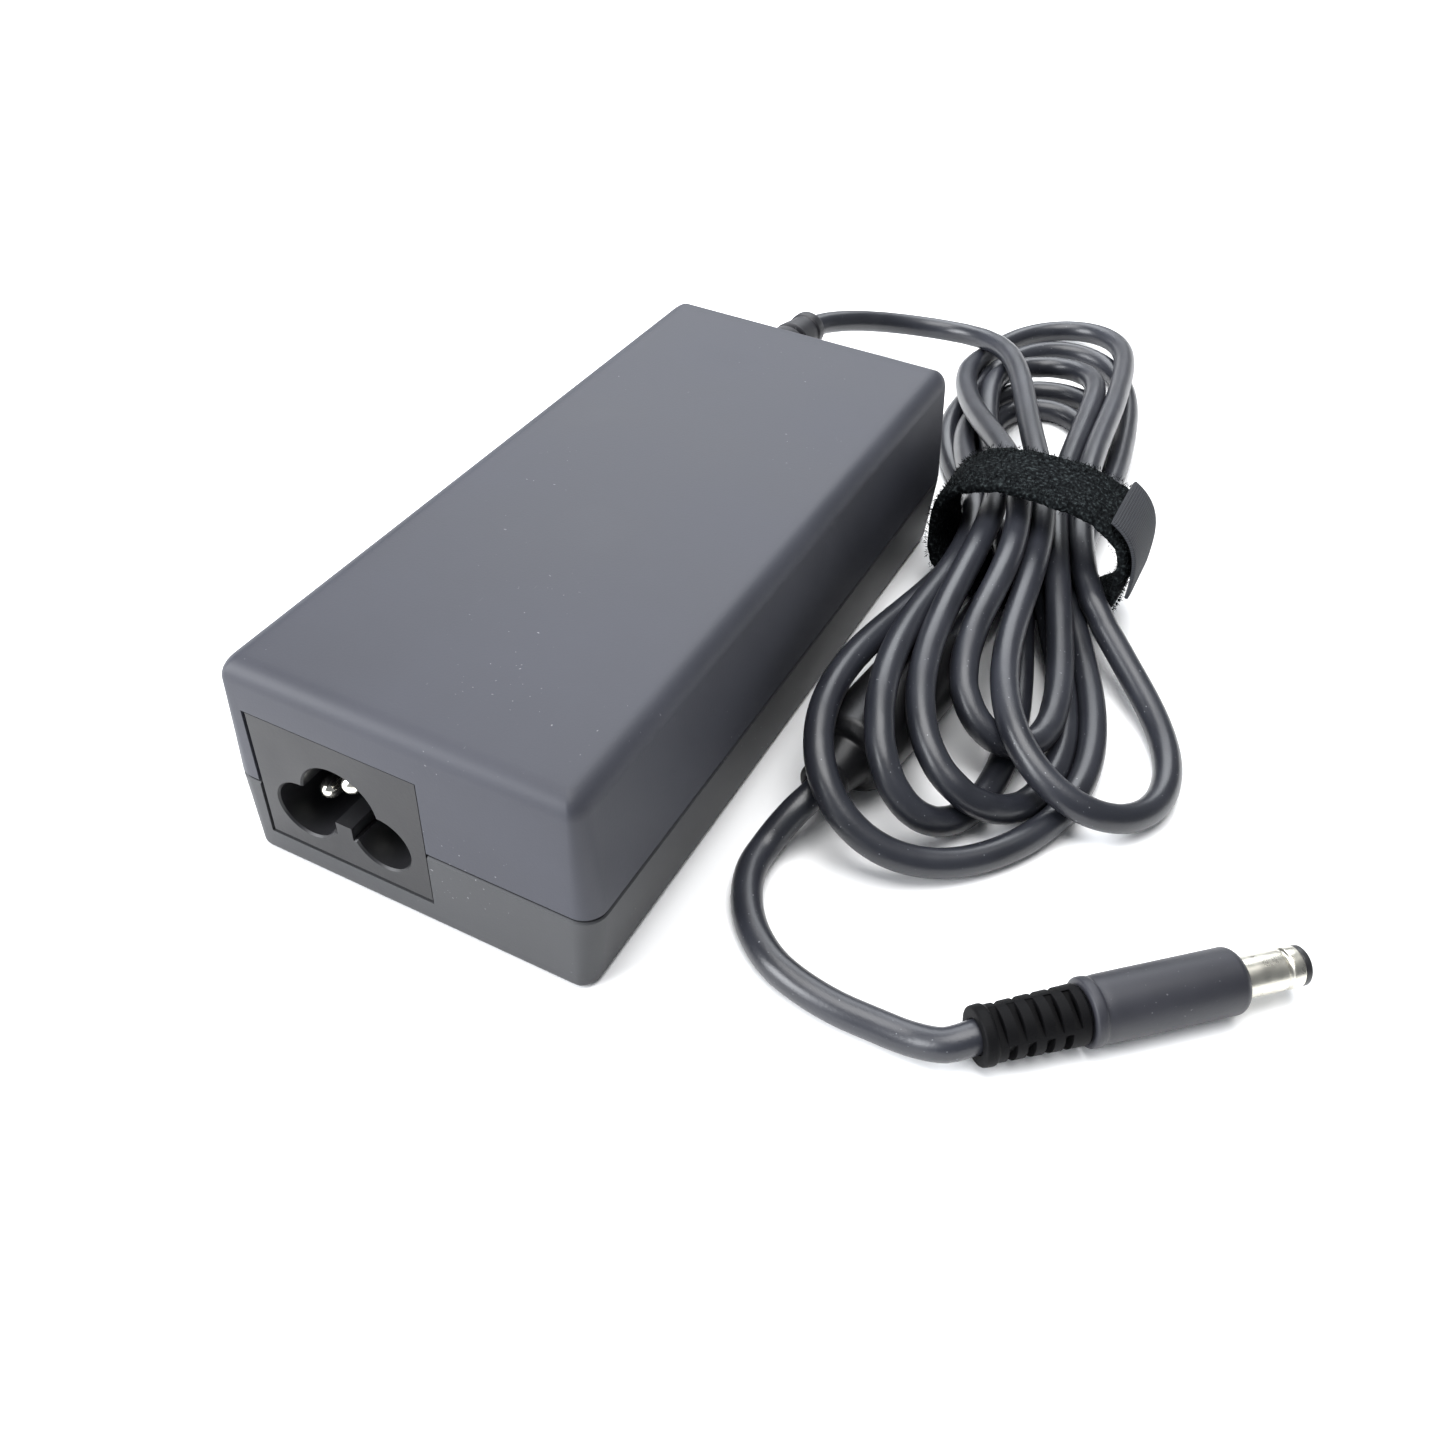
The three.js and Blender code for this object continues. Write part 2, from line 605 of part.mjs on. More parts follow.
function chokeCore() {
  const start = (chokeLength - chokeCoreLength) / 2;
  const end = start + chokeCoreLength;
  const profile = [[chokeCoreBore, start], [chokeCoreRadius, start], [chokeCoreRadius, end],
    [chokeCoreBore, end], [chokeCoreBore, start]];
  return placeChoke(turned(profile, 20));
}

/** Turns a piece made along +Y from the boot's cord end into its place on the surface. */
const placePlug = (geometry) => geometry.rotateZ(THREE.MathUtils.degToRad(plugHeading - 90))
  .translate(plugStart.x, plugStart.y, plugStart.z);

/** The ribbed boot: a sleeve round the cord with rows of slots on four sides, every other row staggered. */
function plugBoot() {
  const profile = [[cordBore, 0], [bootRadius - 0.3, 0], [bootRadius, 0.3], [bootRadius, bootCollar],
    [bootRadius - 0.25, bootCollar + 0.2], [bootRadius, bootLength], [cordBore, bootLength], [cordBore, 0]];
  let boot = solid(turned(profile, 24));
  const reach = bootRadius + 1;
  for (let row = 0; row < 4; row += 1) {
    const staggered = row % 2;
    const turn = THREE.MathUtils.degToRad(slotTurn + row * 90);
    for (let i = 0; i < bootSlots - staggered; i += 1) {
      const s = bootCollar + 0.2 + (i + staggered / 2) * slotPitch;
      const cut = block(-slotHalf, slotHalf, s, s + slotWidth, cordBore + 0.25, reach).rotateY(turn);
      boot = boot.subtract(solid(cut));
    }
  }
  return placePlug(surface(boot));
}

function plugBody() {
  const s0 = bootLength + fit;
  const s1 = s0 + bodyLength;
  const seat = s1 - barrelSeat - fit;
  const r = bodyRadius;
  const profile = [[0, s0], [r - 0.2, s0], [r + 0.1, s0 + 0.3], [r + 0.1, s0 + 1.1], [r - 0.1, s0 + 1.3],
    [r, s0 + 2.4], [r, s1 - 0.8], [r - 0.15, s1 - 0.3], [r - 0.5, s1], [barrelRadius + fit, s1],
    [barrelRadius + fit, seat], [0, seat]];
  return placePlug(turned(profile, 28));
}

const plugFront = bootLength + fit + bodyLength;

function barrelSleeve() {
  const s0 = plugFront - barrelSeat;
  const s1 = plugFront + barrelLength - tipRing - fit;
  const groove = s1 - 1.5;
  const r = barrelRadius;
  const profile = [[barrelBore, s0], [r, s0], [r, groove - 0.5], [r - 0.2, groove - 0.3], [r - 0.2, groove],
    [r, groove + 0.2], [r, s1], [barrelBore, s1], [barrelBore, s0]];
  return placePlug(turned(profile, 24));
}

/** The plastic liner of the barrel with the ring that shows at its tip. */
function barrelInsulator() {
  const tip = plugFront + barrelLength;
  const s0 = plugFront - barrelSeat + 1;
  const outer = barrelBore - fit;
  const inner = outer - linerWall;
  const profile = [[inner, s0], [outer, s0], [outer, tip - tipRing], [barrelRadius - 0.1, tip - tipRing],
    [barrelRadius - 0.1, tip - 0.25], [barrelRadius - 0.35, tip], [inner, tip], [inner, s0]];
  return placePlug(turned(profile, 20));
}

function centrePin() {
  const s0 = plugFront - barrelSeat + 0.2;
  const s1 = plugFront + barrelLength - 1.4;
  const r = centrePinRadius;
  const profile = [[0, s0], [r, s0], [r, s1 - 0.4], [r * 0.5, s1], [0, s1]];
  return placePlug(turned(profile, 10));
}

// ---------------------------------------------------------------- assembly
const group = new THREE.Group();

function add(name, shape, color, roughness, metalness = 0) {
  const geometry = shape.isBufferGeometry ? shape : surface(shape);
  const mesh = new THREE.Mesh(geometry, new THREE.MeshStandardMaterial({ color, roughness, metalness }));
  mesh.name = name;
  group.add(mesh);
}

add('top_shell', topShell(), 0x26272b, 0.5);
add('bottom_shell', bottomShell(), 0x2a2828, 0.55);
add('rating_label', ratingLabel(), 0x3a3b3d, 0.6);
add('inlet_body', inletBody(), 0x303136, 0.45);
pinPlaces.forEach(([name, x, z, setback]) => add(name, inletPin(x, z, setback), 0xd8d6cc, 0.25, 1));

add('circuit_board', circuitBoard(), 0x8f7a4e, 0.6);
add('fuse', standing(10.5, 22.8, 4.1, 7.6), 0x2b2b2e, 0.5);
add('x_capacitor', box(-8, 25.6, 17, 7.4, 13), 0xb9a53c, 0.45);
add('filter_core', filterCore(), 0x4c5b4a, 0.6);
add('filter_winding_left', filterWinding(Math.PI), 0xa9552b, 0.35, 0.6);
add('filter_winding_right', filterWinding(0), 0xa9552b, 0.35, 0.6);
add('inrush_thermistor', box(10.5, 30.6, 9, 4, 9.5), 0x2f3d2c, 0.6);
add('bridge_rectifier', box(10.2, 38.6, 15, 3.6, 12), 0x202124, 0.45);
add('bulk_capacitor', lyingCapacitor(), 0x1d2430, 0.35);
add('primary_heatsink', heatsink(-1, 49, 72), 0xb9bbbe, 0.4, 0.9);
add('power_switch', powerPackage(-1, 60), 0x18191b, 0.5);
add('y_capacitor', box(-5, 52.5, 8, 3.4, 8), 0x3568a8, 0.5);
add('control_chip', box(-5.4, 59.5, 5, 4, 1.6), 0x17181a, 0.5);
add('optocoupler', box(-4.6, 66.5, 6.5, 4.6, 3.4), 0xe4e2da, 0.5);
add('transformer_core', transformerCore(), 0x3a3a3c, 0.65);
add('transformer_coil', transformerCoil(), 0xd9c25a, 0.5);
add('secondary_heatsink', heatsink(1, 75.5, 92), 0xb9bbbe, 0.4, 0.9);
add('output_diode', box(heatsinkFace - heatsinkThickness - 1.9, 86.4, 2.6, 9.6, 12, 2), 0x18191b, 0.5);
add('output_capacitor_front', standing(-capacitorSide, 77.4, outputCapacitorRadius, 14), 0x1f3a2b, 0.35);
add('output_capacitor_rear', standing(-capacitorSide, 85.3, outputCapacitorRadius, 14), 0x1f3a2b, 0.35);
add('insulating_sheet', insulatingSheet(), 0xe8e4d4, 0.35);
add('output_wire_left', outputWire(-1), 0x1a1a1c, 0.5);
add('output_wire_right', outputWire(1), 0xa8262a, 0.5);

add('strain_relief', strainRelief(), 0x1f2023, 0.6);
add('cord_lead', cordLead(), 0x2c2e33, 0.45);
add('cord_hank', besideBrick(surface(cordHank())), 0x2c2e33, 0.45);
add('hook_loop_strap', besideBrick(hookLoopStrap()), 0x17181a, 0.95);
add('strap_end_tab', besideBrick(strapEndTab()), 0x3a3d42, 0.8);
add('choke_core', besideBrick(chokeCore()), 0x3b3b3d, 0.6);
add('choke_cover', besideBrick(chokeCover()), 0x1b1c1f, 0.5);
add('cord_tail', besideBrick(cordTube(tailRoute)), 0x2c2e33, 0.45);
add('plug_boot', besideBrick(plugBoot()), 0x5a5c60, 0.5);
add('plug_body', besideBrick(plugBody()), 0x5d5f63, 0.45);
add('barrel_sleeve', besideBrick(barrelSleeve()), 0xc9cacb, 0.25, 1);
add('barrel_insulator', besideBrick(barrelInsulator()), 0x151515, 0.5);
add('centre_pin', besideBrick(centrePin()), 0xc9a94a, 0.3, 1);

export default group;
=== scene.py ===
"""Laptop power adapter: the finished look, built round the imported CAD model.

Sizes are in millimetres where a name says so, and every mesh is written in metres. New surfaces are
grids of points: a profile carried round an axis, a ring carried along a path, or the brick's outline
carried through a list of heights.
"""

import bmesh
import bpy
import numpy as np
from mathutils import Matrix


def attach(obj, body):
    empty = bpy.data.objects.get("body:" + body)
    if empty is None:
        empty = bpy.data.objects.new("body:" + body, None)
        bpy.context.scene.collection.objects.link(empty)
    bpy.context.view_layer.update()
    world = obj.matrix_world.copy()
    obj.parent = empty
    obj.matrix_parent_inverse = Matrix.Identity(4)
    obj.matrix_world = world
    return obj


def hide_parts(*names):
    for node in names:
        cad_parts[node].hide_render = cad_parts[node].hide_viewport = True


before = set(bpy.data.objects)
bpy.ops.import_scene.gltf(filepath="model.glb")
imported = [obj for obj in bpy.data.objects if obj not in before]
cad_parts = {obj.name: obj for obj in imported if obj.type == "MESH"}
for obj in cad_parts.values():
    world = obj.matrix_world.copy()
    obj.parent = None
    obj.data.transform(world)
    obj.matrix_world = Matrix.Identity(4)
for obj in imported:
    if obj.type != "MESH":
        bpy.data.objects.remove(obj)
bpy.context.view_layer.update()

MM = 0.001
UP = np.array([0.0, 0.0, 1.0])


# ---------------------------------------------------------------- camera, floor and light
CAMERA_SPOT = (69.36, -119.77, 115.72)
CAMERA_AZIMUTH, CAMERA_ELEVATION, CAMERA_ROLL = np.radians((24.88, 42.23, 3.25))


def add_object(name, data, axes=None, spot=None):
    """A new object in the scene. Axes are its right, up and backward directions, and the spot is in metres."""
    item = bpy.data.objects.new(name, data)
    if axes:
        matrix = np.eye(4)
        matrix[:3, :3] = np.stack(axes, axis=1)
        matrix[:3, 3] = spot
        item.matrix_world = Matrix(matrix.tolist())
    bpy.context.scene.collection.objects.link(item)
    return item


def place_camera():
    """The camera looks from azimuth and elevation, with its right and up turned by the roll."""
    azimuth, elevation, roll = CAMERA_AZIMUTH, CAMERA_ELEVATION, CAMERA_ROLL
    flat = np.cos(elevation)
    back = np.array([np.sin(azimuth) * flat, -np.cos(azimuth) * flat, np.sin(elevation)])
    level = np.array([np.cos(azimuth), np.sin(azimuth), 0])
    rise = np.cross(back, level)
    right = np.cos(roll) * level + np.sin(roll) * rise
    top = np.cos(roll) * rise - np.sin(roll) * level
    data = bpy.data.cameras.new("camera")
    data.lens = 33.46
    data.sensor_width = 36
    data.shift_x = -0.0068
    data.clip_start = 0.005
    bpy.context.scene.camera = add_object("camera", data, (right, top, back), np.array(CAMERA_SPOT) * MM)


def soft_box(name, spot, aim, width, depth, power, colour=(1, 1, 1)):
    """A rectangular lamp at a spot, facing its aim."""
    data = bpy.data.lights.new(name, "AREA")
    data.shape = "RECTANGLE"
    data.size, data.size_y = width, depth
    data.energy = power
    data.color = colour
    spot, aim = np.array(spot, float), np.array(aim, float)
    back = (spot - aim) / np.linalg.norm(spot - aim)
    right = np.cross([0, 1, 0] if abs(back[2]) > 0.95 else UP, back)
    right /= np.linalg.norm(right)
    add_object(name, data, (right, np.cross(back, right), back), spot)


def light_the_studio():
    world = bpy.data.worlds.new("studio")
    world.use_nodes = True
    sky = world.node_tree.nodes["Background"]
    sky.inputs["Color"].default_value = (0.9, 0.94, 1, 1)
    sky.inputs["Strength"].default_value = 0.26
    bpy.context.scene.world = world
    bpy.context.scene.view_settings.view_transform = "Standard"
    soft_box("left_softbox", (-0.75, -0.75, 0.5), (0, 0, 0.02), 0.9, 0.7, 30, (0.95, 0.97, 1))
    soft_box("back_softbox", (-0.42, 0.95, 0.85), (0.02, 0.05, 0), 1.1, 0.8, 16, (0.93, 0.96, 1))
    soft_box("overhead_softbox", (0, 0, 1.1), (0.02, 0.02, 0), 0.9, 0.9, 19)


def lay_floor():
    """A wide plain floor just under the object."""
    half = 3.0
    corners = [(-half, -half, 0), (half, -half, 0), (half, half, 0), (-half, half, 0)]
    mesh = bpy.data.meshes.new("floor")
    mesh.from_pydata(corners, [], [(0, 1, 2, 3)])
    finish, tree, shader, _ = new_finish("floor_paper")
    dress(tree, shader, (0.94, 0.94, 0.94), 0.9, 0.1)
    mesh.materials.append(finish)
    add_object("floor", mesh)


# ---------------------------------------------------------------- mesh helpers
def unit(vectors):
    return vectors / np.linalg.norm(vectors, axis=-1, keepdims=True)


def ring_quads(rings, around, closed=False):
    """Quads between neighbouring rings, whose points wrap round; closed joins the last ring to the first."""
    ring = np.arange(rings if closed else rings - 1)[:, None]
    place = np.arange(around)[None, :]
    after, beside = (ring + 1) % rings, (place + 1) % around
    corners = [ring * around + place, ring * around + beside, after * around + beside, after * around + place]
    return np.stack(corners, axis=-1).reshape(-1, 4).tolist()


def end_caps(rings, around):
    return [list(range(around)), list(range((rings - 1) * around, rings * around))]


def make_piece(name, points_mm, faces, sharp=40):
    """A mesh object from points in millimetres, with its faces turned outwards and sharp edges kept."""
    mesh = bpy.data.meshes.new(name)
    mesh.from_pydata((np.asarray(points_mm).reshape(-1, 3) * MM).tolist(), [], faces)
    turn_outwards(mesh)
    piece = add_object(name, mesh)
    shade(piece, sharp)
    return piece


def turn_outwards(mesh):
    work = bmesh.new()
    work.from_mesh(mesh)
    bmesh.ops.remove_doubles(work, verts=work.verts, dist=1e-7)
    bmesh.ops.recalc_face_normals(work, faces=work.faces)
    work.to_mesh(mesh)
    work.free()


def shade(piece, sharp):
    """Smooth shading, with a hard line wherever two faces meet at more than the sharp angle."""
    piece.data.polygons.foreach_set("use_smooth", np.ones(len(piece.data.polygons), bool))
    piece.data.set_sharp_from_angle(angle=np.radians(sharp))


def carve(piece, tools, operation="DIFFERENCE", sharp=40):
    """Cuts the tools out of a piece, or joins them to it, and removes the tools."""
    for tool in tools:
        modifier = piece.modifiers.new("carve", "BOOLEAN")
        modifier.operation = operation
        modifier.solver = "EXACT"
        modifier.object = tool
    result = piece.evaluated_get(bpy.context.evaluated_depsgraph_get())
    mesh = bpy.data.meshes.new_from_object(result)
    piece.modifiers.clear()
    piece.data = mesh
    mesh.materials.clear()
    shade(piece, sharp)
    for tool in tools:
        bpy.data.objects.remove(tool)
    return piece


def join(piece, others):
    """Adds the meshes of other pieces to a piece, untouched."""
    work = bmesh.new()
    for item in [piece, *others]:
        work.from_mesh(item.data)
    work.to_mesh(piece.data)
    work.free()
    for item in others:
        bpy.data.objects.remove(item)
    return piece


def soften(outline, reach, steps=5, closed=False):
    """Rounds the corners of an outline. Each corner c becomes the curve (1-t)^2 a + 2t(1-t) c + t^2 b between
    points a and b that lie the reach before and after it."""
    points = np.asarray(outline, float)
    last = points[-1:] if not closed else points[:1]
    first = points[:1] if not closed else points[-1:]
    after = np.vstack([points[1:], last])
    before = np.vstack([first, points[:-1]])
    reach = np.broadcast_to(np.asarray(reach, float).reshape(-1, 1), (len(points), 1))

    def towards(other):
        gap = other - points
        size = np.maximum(np.linalg.norm(gap, axis=1, keepdims=True), 1e-9)
        return points + gap * np.minimum(reach / size, 0.45)

    t = np.linspace(0, 1, steps)[:, None, None]
    curve = (1 - t) ** 2 * towards(before) + 2 * t * (1 - t) * points + t**2 * towards(after)
    curve = curve.transpose(1, 0, 2).reshape(-1, points.shape[1])
    moved = np.linalg.norm(np.diff(curve, axis=0), axis=1) > 1e-5
    return curve[np.r_[True, moved]]


def full_turn(sides):
    return np.linspace(0, 2 * np.pi, sides, endpoint=False)


def revolve(profile, sides):
    """A profile of (radius, distance) carried round the Y axis: x = r cos a, y = distance, z = r sin a."""
    radius, along = np.asarray(profile, float).T
    angle = full_turn(sides)
    x = radius[:, None] * np.cos(angle)
    z = radius[:, None] * np.sin(angle)
    return np.stack([x, np.broadcast_to(along[:, None], x.shape), z], axis=-1)


def turned_piece(name, profile, sides, place, soft=0, hollow=False, sharp=40):
    """A turned piece along +Y, moved to its place, its corners softened where asked. A hollow profile is a
    closed loop, and has no end caps."""
    if soft:
        profile = soften(profile, soft, closed=hollow)
    points = place(revolve(profile, sides))
    faces = ring_quads(len(profile), sides, closed=hollow)
    if not hollow:
        faces += end_caps(len(profile), sides)
    return make_piece(name, points, faces, sharp)


def moved(spot, turn_degrees=0.0):
    """A placer: turns points about Z, then moves their origin to the spot."""
    turn = np.radians(turn_degrees)
    spin = np.array([[np.cos(turn), np.sin(turn), 0], [-np.sin(turn), np.cos(turn), 0], [0, 0, 1]])
    return lambda points: points @ spin + np.array(spot)


def block(name, low, high, place=None):
    """A plain box between two corners, used for cutting."""
    low, high = np.array(low, float), np.array(high, float)
    pick = np.array([[0, 0], [1, 0], [1, 1], [0, 1]])
    points = np.array([[*np.where(side, high[:2], low[:2]), z] for z in (low[2], high[2]) for side in pick])
    if place is not None:
        points = place(points)
    faces = ring_quads(2, 4) + end_caps(2, 4)
    return make_piece(name, points, faces)


# ---------------------------------------------------------------- finishes
def new_finish(name):
    """A new material with its node tree, its shader and the object's own coordinates."""
    finish = bpy.data.materials.new(name)
    finish.use_nodes = True
    tree = finish.node_tree
    return finish, tree, tree.nodes["Principled BSDF"], tree.nodes.new("ShaderNodeTexCoord").outputs["Object"]


def feed(tree, socket, value):
    """Links a node's output to a socket, or writes a number or a colour into it."""
    if isinstance(value, bpy.types.NodeSocket):
        tree.links.new(value, socket)
    else:
        socket.default_value = (*value, 1) if isinstance(value, tuple) else value


def dress(tree, shader, colour, roughness, specular=None, metallic=None):
    """Feeds the shader what is given, and leaves the rest as it is."""
    labels = "Base Color", "Roughness", "Specular IOR Level", "Metallic"
    for label, value in zip(labels, (colour, roughness, specular, metallic)):
        if value is not None:
            feed(tree, shader.inputs[label], value)


def noise(tree, place, size_mm, detail=2.0, stretch=(1, 1, 1)):
    """A cloudy value whose blobs are about size_mm across, stretched along an axis where asked."""
    mapping = tree.nodes.new("ShaderNodeMapping")
    mapping.inputs["Scale"].default_value = [1 / (size_mm * MM) / s for s in stretch]
    tree.links.new(place, mapping.inputs["Vector"])
    cloud = tree.nodes.new("ShaderNodeTexNoise")
    cloud.inputs["Scale"].default_value = 1
    cloud.inputs["Detail"].default_value = detail
    tree.links.new(mapping.outputs[0], cloud.inputs["Vector"])
    return cloud.outputs[0]


def ramp(tree, value, stops):
    """A colour for each value, from a list of (value, colour)."""
    node = tree.nodes.new("ShaderNodeValToRGB")
    while len(node.color_ramp.elements) < len(stops):
        node.color_ramp.elements.new(0.5)
    for element, (position, colour) in zip(node.color_ramp.elements, stops):
        element.position = position
        element.color = (*colour, 1)
    tree.links.new(value, node.inputs[0])
    return node.outputs[0]


def spread(tree, value, low, high, start=0.3, end=0.7):
    """Maps a value between start and end to one between low and high."""
    node = tree.nodes.new("ShaderNodeMapRange")
    inputs = ("From Min", start), ("From Max", end), ("To Min", low), ("To Max", high)
    for label, number in inputs:
        node.inputs[label].default_value = number
    tree.links.new(value, node.inputs["Value"])
    return node.outputs[0]


def mix_colour(tree, factor, below, above):
    node = tree.nodes.new("ShaderNodeMix")
    node.data_type = "RGBA"
    tree.links.new(factor, node.inputs[0])
    feed(tree, node.inputs[6], below)
    feed(tree, node.inputs[7], above)
    return node.outputs[2]


def combine(tree, operation, first, second):
    node = tree.nodes.new("ShaderNodeMath")
    node.operation = operation
    feed(tree, node.inputs[0], first)
    feed(tree, node.inputs[1], second)
    return node.outputs[0]


def relief(tree, shader, heights, depth_mm, strength=1.0):
    bump = tree.nodes.new("ShaderNodeBump")
    bump.inputs["Strength"].default_value = strength
    bump.inputs["Distance"].default_value = depth_mm * MM
    tree.links.new(heights, bump.inputs["Height"])
    tree.links.new(bump.outputs[0], shader.inputs["Normal"])


def drift(tree, value, colour, share):
    """The colour, a share darker where the value is low and a share lighter where it is high."""
    dark, light = tuple(c * (1 - share) for c in colour), tuple(min(1, c * (1 + share)) for c in colour)
    return ramp(tree, value, [(0.35, dark), (0.65, light)])


def moulded(name, colour, roughness, specular=0.4, grain_mm=0.35, grain_depth=0.01, dust=None, dust_mm=0.8):
    """A moulded finish: a base colour that drifts in patches, a fine grain, and tiny dust specks."""
    finish, tree, shader, place = new_finish(name)
    patches = noise(tree, place, 6)
    surface = drift(tree, patches, colour, 0.12)
    if dust:
        specks = noise(tree, place, dust_mm, detail=0)
        surface = mix_colour(tree, spread(tree, specks, 0, 1, 0.82, 0.86), surface, dust)
    dress(tree, shader, surface, spread(tree, patches, roughness - 0.05, roughness + 0.05), specular)
    relief(tree, shader, noise(tree, place, grain_mm, detail=3), grain_depth)
    return finish


def housing_plastic(name, colour, roughness, specular):
    """Spark-eroded satin plastic: a fine grain, faint rubbed patches, a few hair scratches and specks."""
    finish, tree, shader, place = new_finish(name)
    rubbed = noise(tree, place, 22, detail=3)
    base = drift(tree, rubbed, colour, 0.1)
    specks = spread(tree, noise(tree, place, 0.35, detail=0), 0, 0.7, 0.84, 0.88)
    streaks = spread(tree, noise(tree, place, 0.3, detail=1, stretch=(1, 14, 1)), 0, 0.6, 0.8, 0.84)
    where = spread(tree, noise(tree, place, 16, detail=1), 0, 0.7, 0.54, 0.68)
    marks = combine(tree, "MULTIPLY", combine(tree, "MAXIMUM", specks, streaks), where)
    colours = mix_colour(tree, marks, base, (0.3, 0.3, 0.31))
    dress(tree, shader, colours, spread(tree, rubbed, roughness - 0.03, roughness + 0.04), specular)
    relief(tree, shader, noise(tree, place, 0.28, detail=3), 0.012)
    return finish


def cord_jacket():
    """Satin flexible jacket with long soft wrinkles and specks of dust."""
    finish, tree, shader, place = new_finish("cord_jacket")
    patches = noise(tree, place, 9)
    base = ramp(tree, patches, [(0.35, (0.012, 0.013, 0.0175)), (0.65, (0.019, 0.0205, 0.027))])
    specks = spread(tree, noise(tree, place, 0.28, detail=0), 0, 0.6, 0.83, 0.87)
    colours = mix_colour(tree, specks, base, (0.25, 0.26, 0.28))
    dress(tree, shader, colours, spread(tree, patches, 0.31, 0.39), 0.5)
    wrinkles = combine(tree, "MULTIPLY", noise(tree, place, 5, detail=1), 3)
    relief(tree, shader, combine(tree, "ADD", noise(tree, place, 0.3), wrinkles), 0.015)
    return finish


def strap_pile():
    """Black loop pile: matt, with dark grey flecks where the loops catch the light."""
    finish, tree, shader, place = new_finish("strap_pile")
    flecks = noise(tree, place, 0.45, detail=3)
    shades = [(0.42, (0.003, 0.0035, 0.004)), (0.58, (0.011, 0.013, 0.014)), (0.7, (0.035, 0.042, 0.043))]
    dress(tree, shader, ramp(tree, flecks, shades), 0.95, 0.04)
    relief(tree, shader, flecks, 0.25)
    return finish


def woven_tab():
    """A tight plain weave: crossing waves along the piece's own width and length."""
    finish, tree, shader, _ = new_finish("woven_tab")
    uv = tree.nodes.new("ShaderNodeUVMap").outputs[0]
    waves = []
    for direction in ("X", "Y"):
        wave = tree.nodes.new("ShaderNodeTexWave")
        wave.bands_direction = direction
        wave.inputs["Scale"].default_value = 1
        wave.inputs["Distortion"].default_value = 0.6
        wave.inputs["Detail Scale"].default_value = 2
        tree.links.new(uv, wave.inputs["Vector"])
        waves.append(wave.outputs["Fac"])
    weave = combine(tree, "ADD", *waves)
    shades = [(0.2, (0.016, 0.017, 0.02)), (0.8, (0.044, 0.047, 0.054))]
    dress(tree, shader, ramp(tree, combine(tree, "MULTIPLY", weave, 0.5), shades), 0.8, 0.3)
    relief(tree, shader, weave, 0.06)
    return finish


def printed_board():
    """Bare tan laminate with a faint glass weave."""
    finish, tree, shader, place = new_finish("board_laminate")
    weave = noise(tree, place, 0.6, detail=1, stretch=(1, 3, 1))
    dress(tree, shader, ramp(tree, weave, [(0.3, (0.24, 0.16, 0.06)), (0.7, (0.33, 0.23, 0.1))]), 0.5)
    relief(tree, shader, weave, 0.01)
    return finish


def drawn_metal(name, colour, roughness, line_mm=0.15):
    """Bright metal with fine turning lines and a slightly uneven polish."""
    finish, tree, shader, place = new_finish(name)
    haze = noise(tree, place, 1.6)
    base = ramp(tree, haze, [(0.3, tuple(c * 0.86 for c in colour)), (0.7, colour)])
    dress(tree, shader, base, spread(tree, haze, roughness, roughness + 0.12), metallic=1)
    relief(tree, shader, noise(tree, place, line_mm), 0.002)
    return finish


def wound_wire():
    """Enamelled copper wire: close parallel turns round the core."""
    finish, tree, shader, place = new_finish("wound_wire")
    turns = noise(tree, place, 0.5, detail=1, stretch=(6, 1, 1))
    base = ramp(tree, turns, [(0.35, (0.16, 0.045, 0.012)), (0.65, (0.5, 0.17, 0.05))])
    dress(tree, shader, base, 0.3, metallic=0.7)
    relief(tree, shader, turns, 0.1)
    return finish


MOULDED = {
    "label_sheet": dict(colour=(0.045, 0.046, 0.05), roughness=0.55, grain_mm=0.2, grain_depth=0.004),
    "inlet_plastic": dict(colour=(0.011, 0.011, 0.0125), roughness=0.42, specular=0.3, grain_depth=0.008),
    "component_black": dict(colour=(0.012, 0.012, 0.014), roughness=0.45),
    "component_yellow": dict(colour=(0.5, 0.38, 0.06), roughness=0.42, grain_depth=0.004),
    "component_green": dict(colour=(0.03, 0.055, 0.026), roughness=0.55),
    "component_blue": dict(colour=(0.04, 0.14, 0.38), roughness=0.5),
    "component_white": dict(colour=(0.75, 0.73, 0.68), roughness=0.5),
    "ferrite": dict(colour=(0.035, 0.034, 0.035), roughness=0.65, grain_mm=0.15, grain_depth=0.02),
    "coil_tape": dict(colour=(0.62, 0.5, 0.12), roughness=0.4, grain_depth=0.004),
    "capacitor_sleeve": dict(colour=(0.015, 0.028, 0.035), roughness=0.3, grain_depth=0.003),
    "insulating_film": dict(colour=(0.72, 0.68, 0.54), roughness=0.35, grain_depth=0.003),
    "wire_black": dict(colour=(0.012, 0.012, 0.013), roughness=0.4),
    "wire_red": dict(colour=(0.4, 0.018, 0.016), roughness=0.4),
    "relief_rubber": dict(colour=(0.012, 0.012, 0.015), roughness=0.5, dust=(0.12, 0.12, 0.13), dust_mm=0.35),
    "choke_plastic": dict(colour=(0.006, 0.006, 0.007), roughness=0.42, specular=0.3),
    "boot_rubber": dict(colour=(0.003, 0.003, 0.0035), roughness=0.6, specular=0.08, grain_mm=0.25),
    "plug_rubber": dict(colour=(0.017, 0.0175, 0.023), roughness=0.5, dust=(0.08, 0.08, 0.09), dust_mm=0.3,
                        grain_mm=0.25),
}
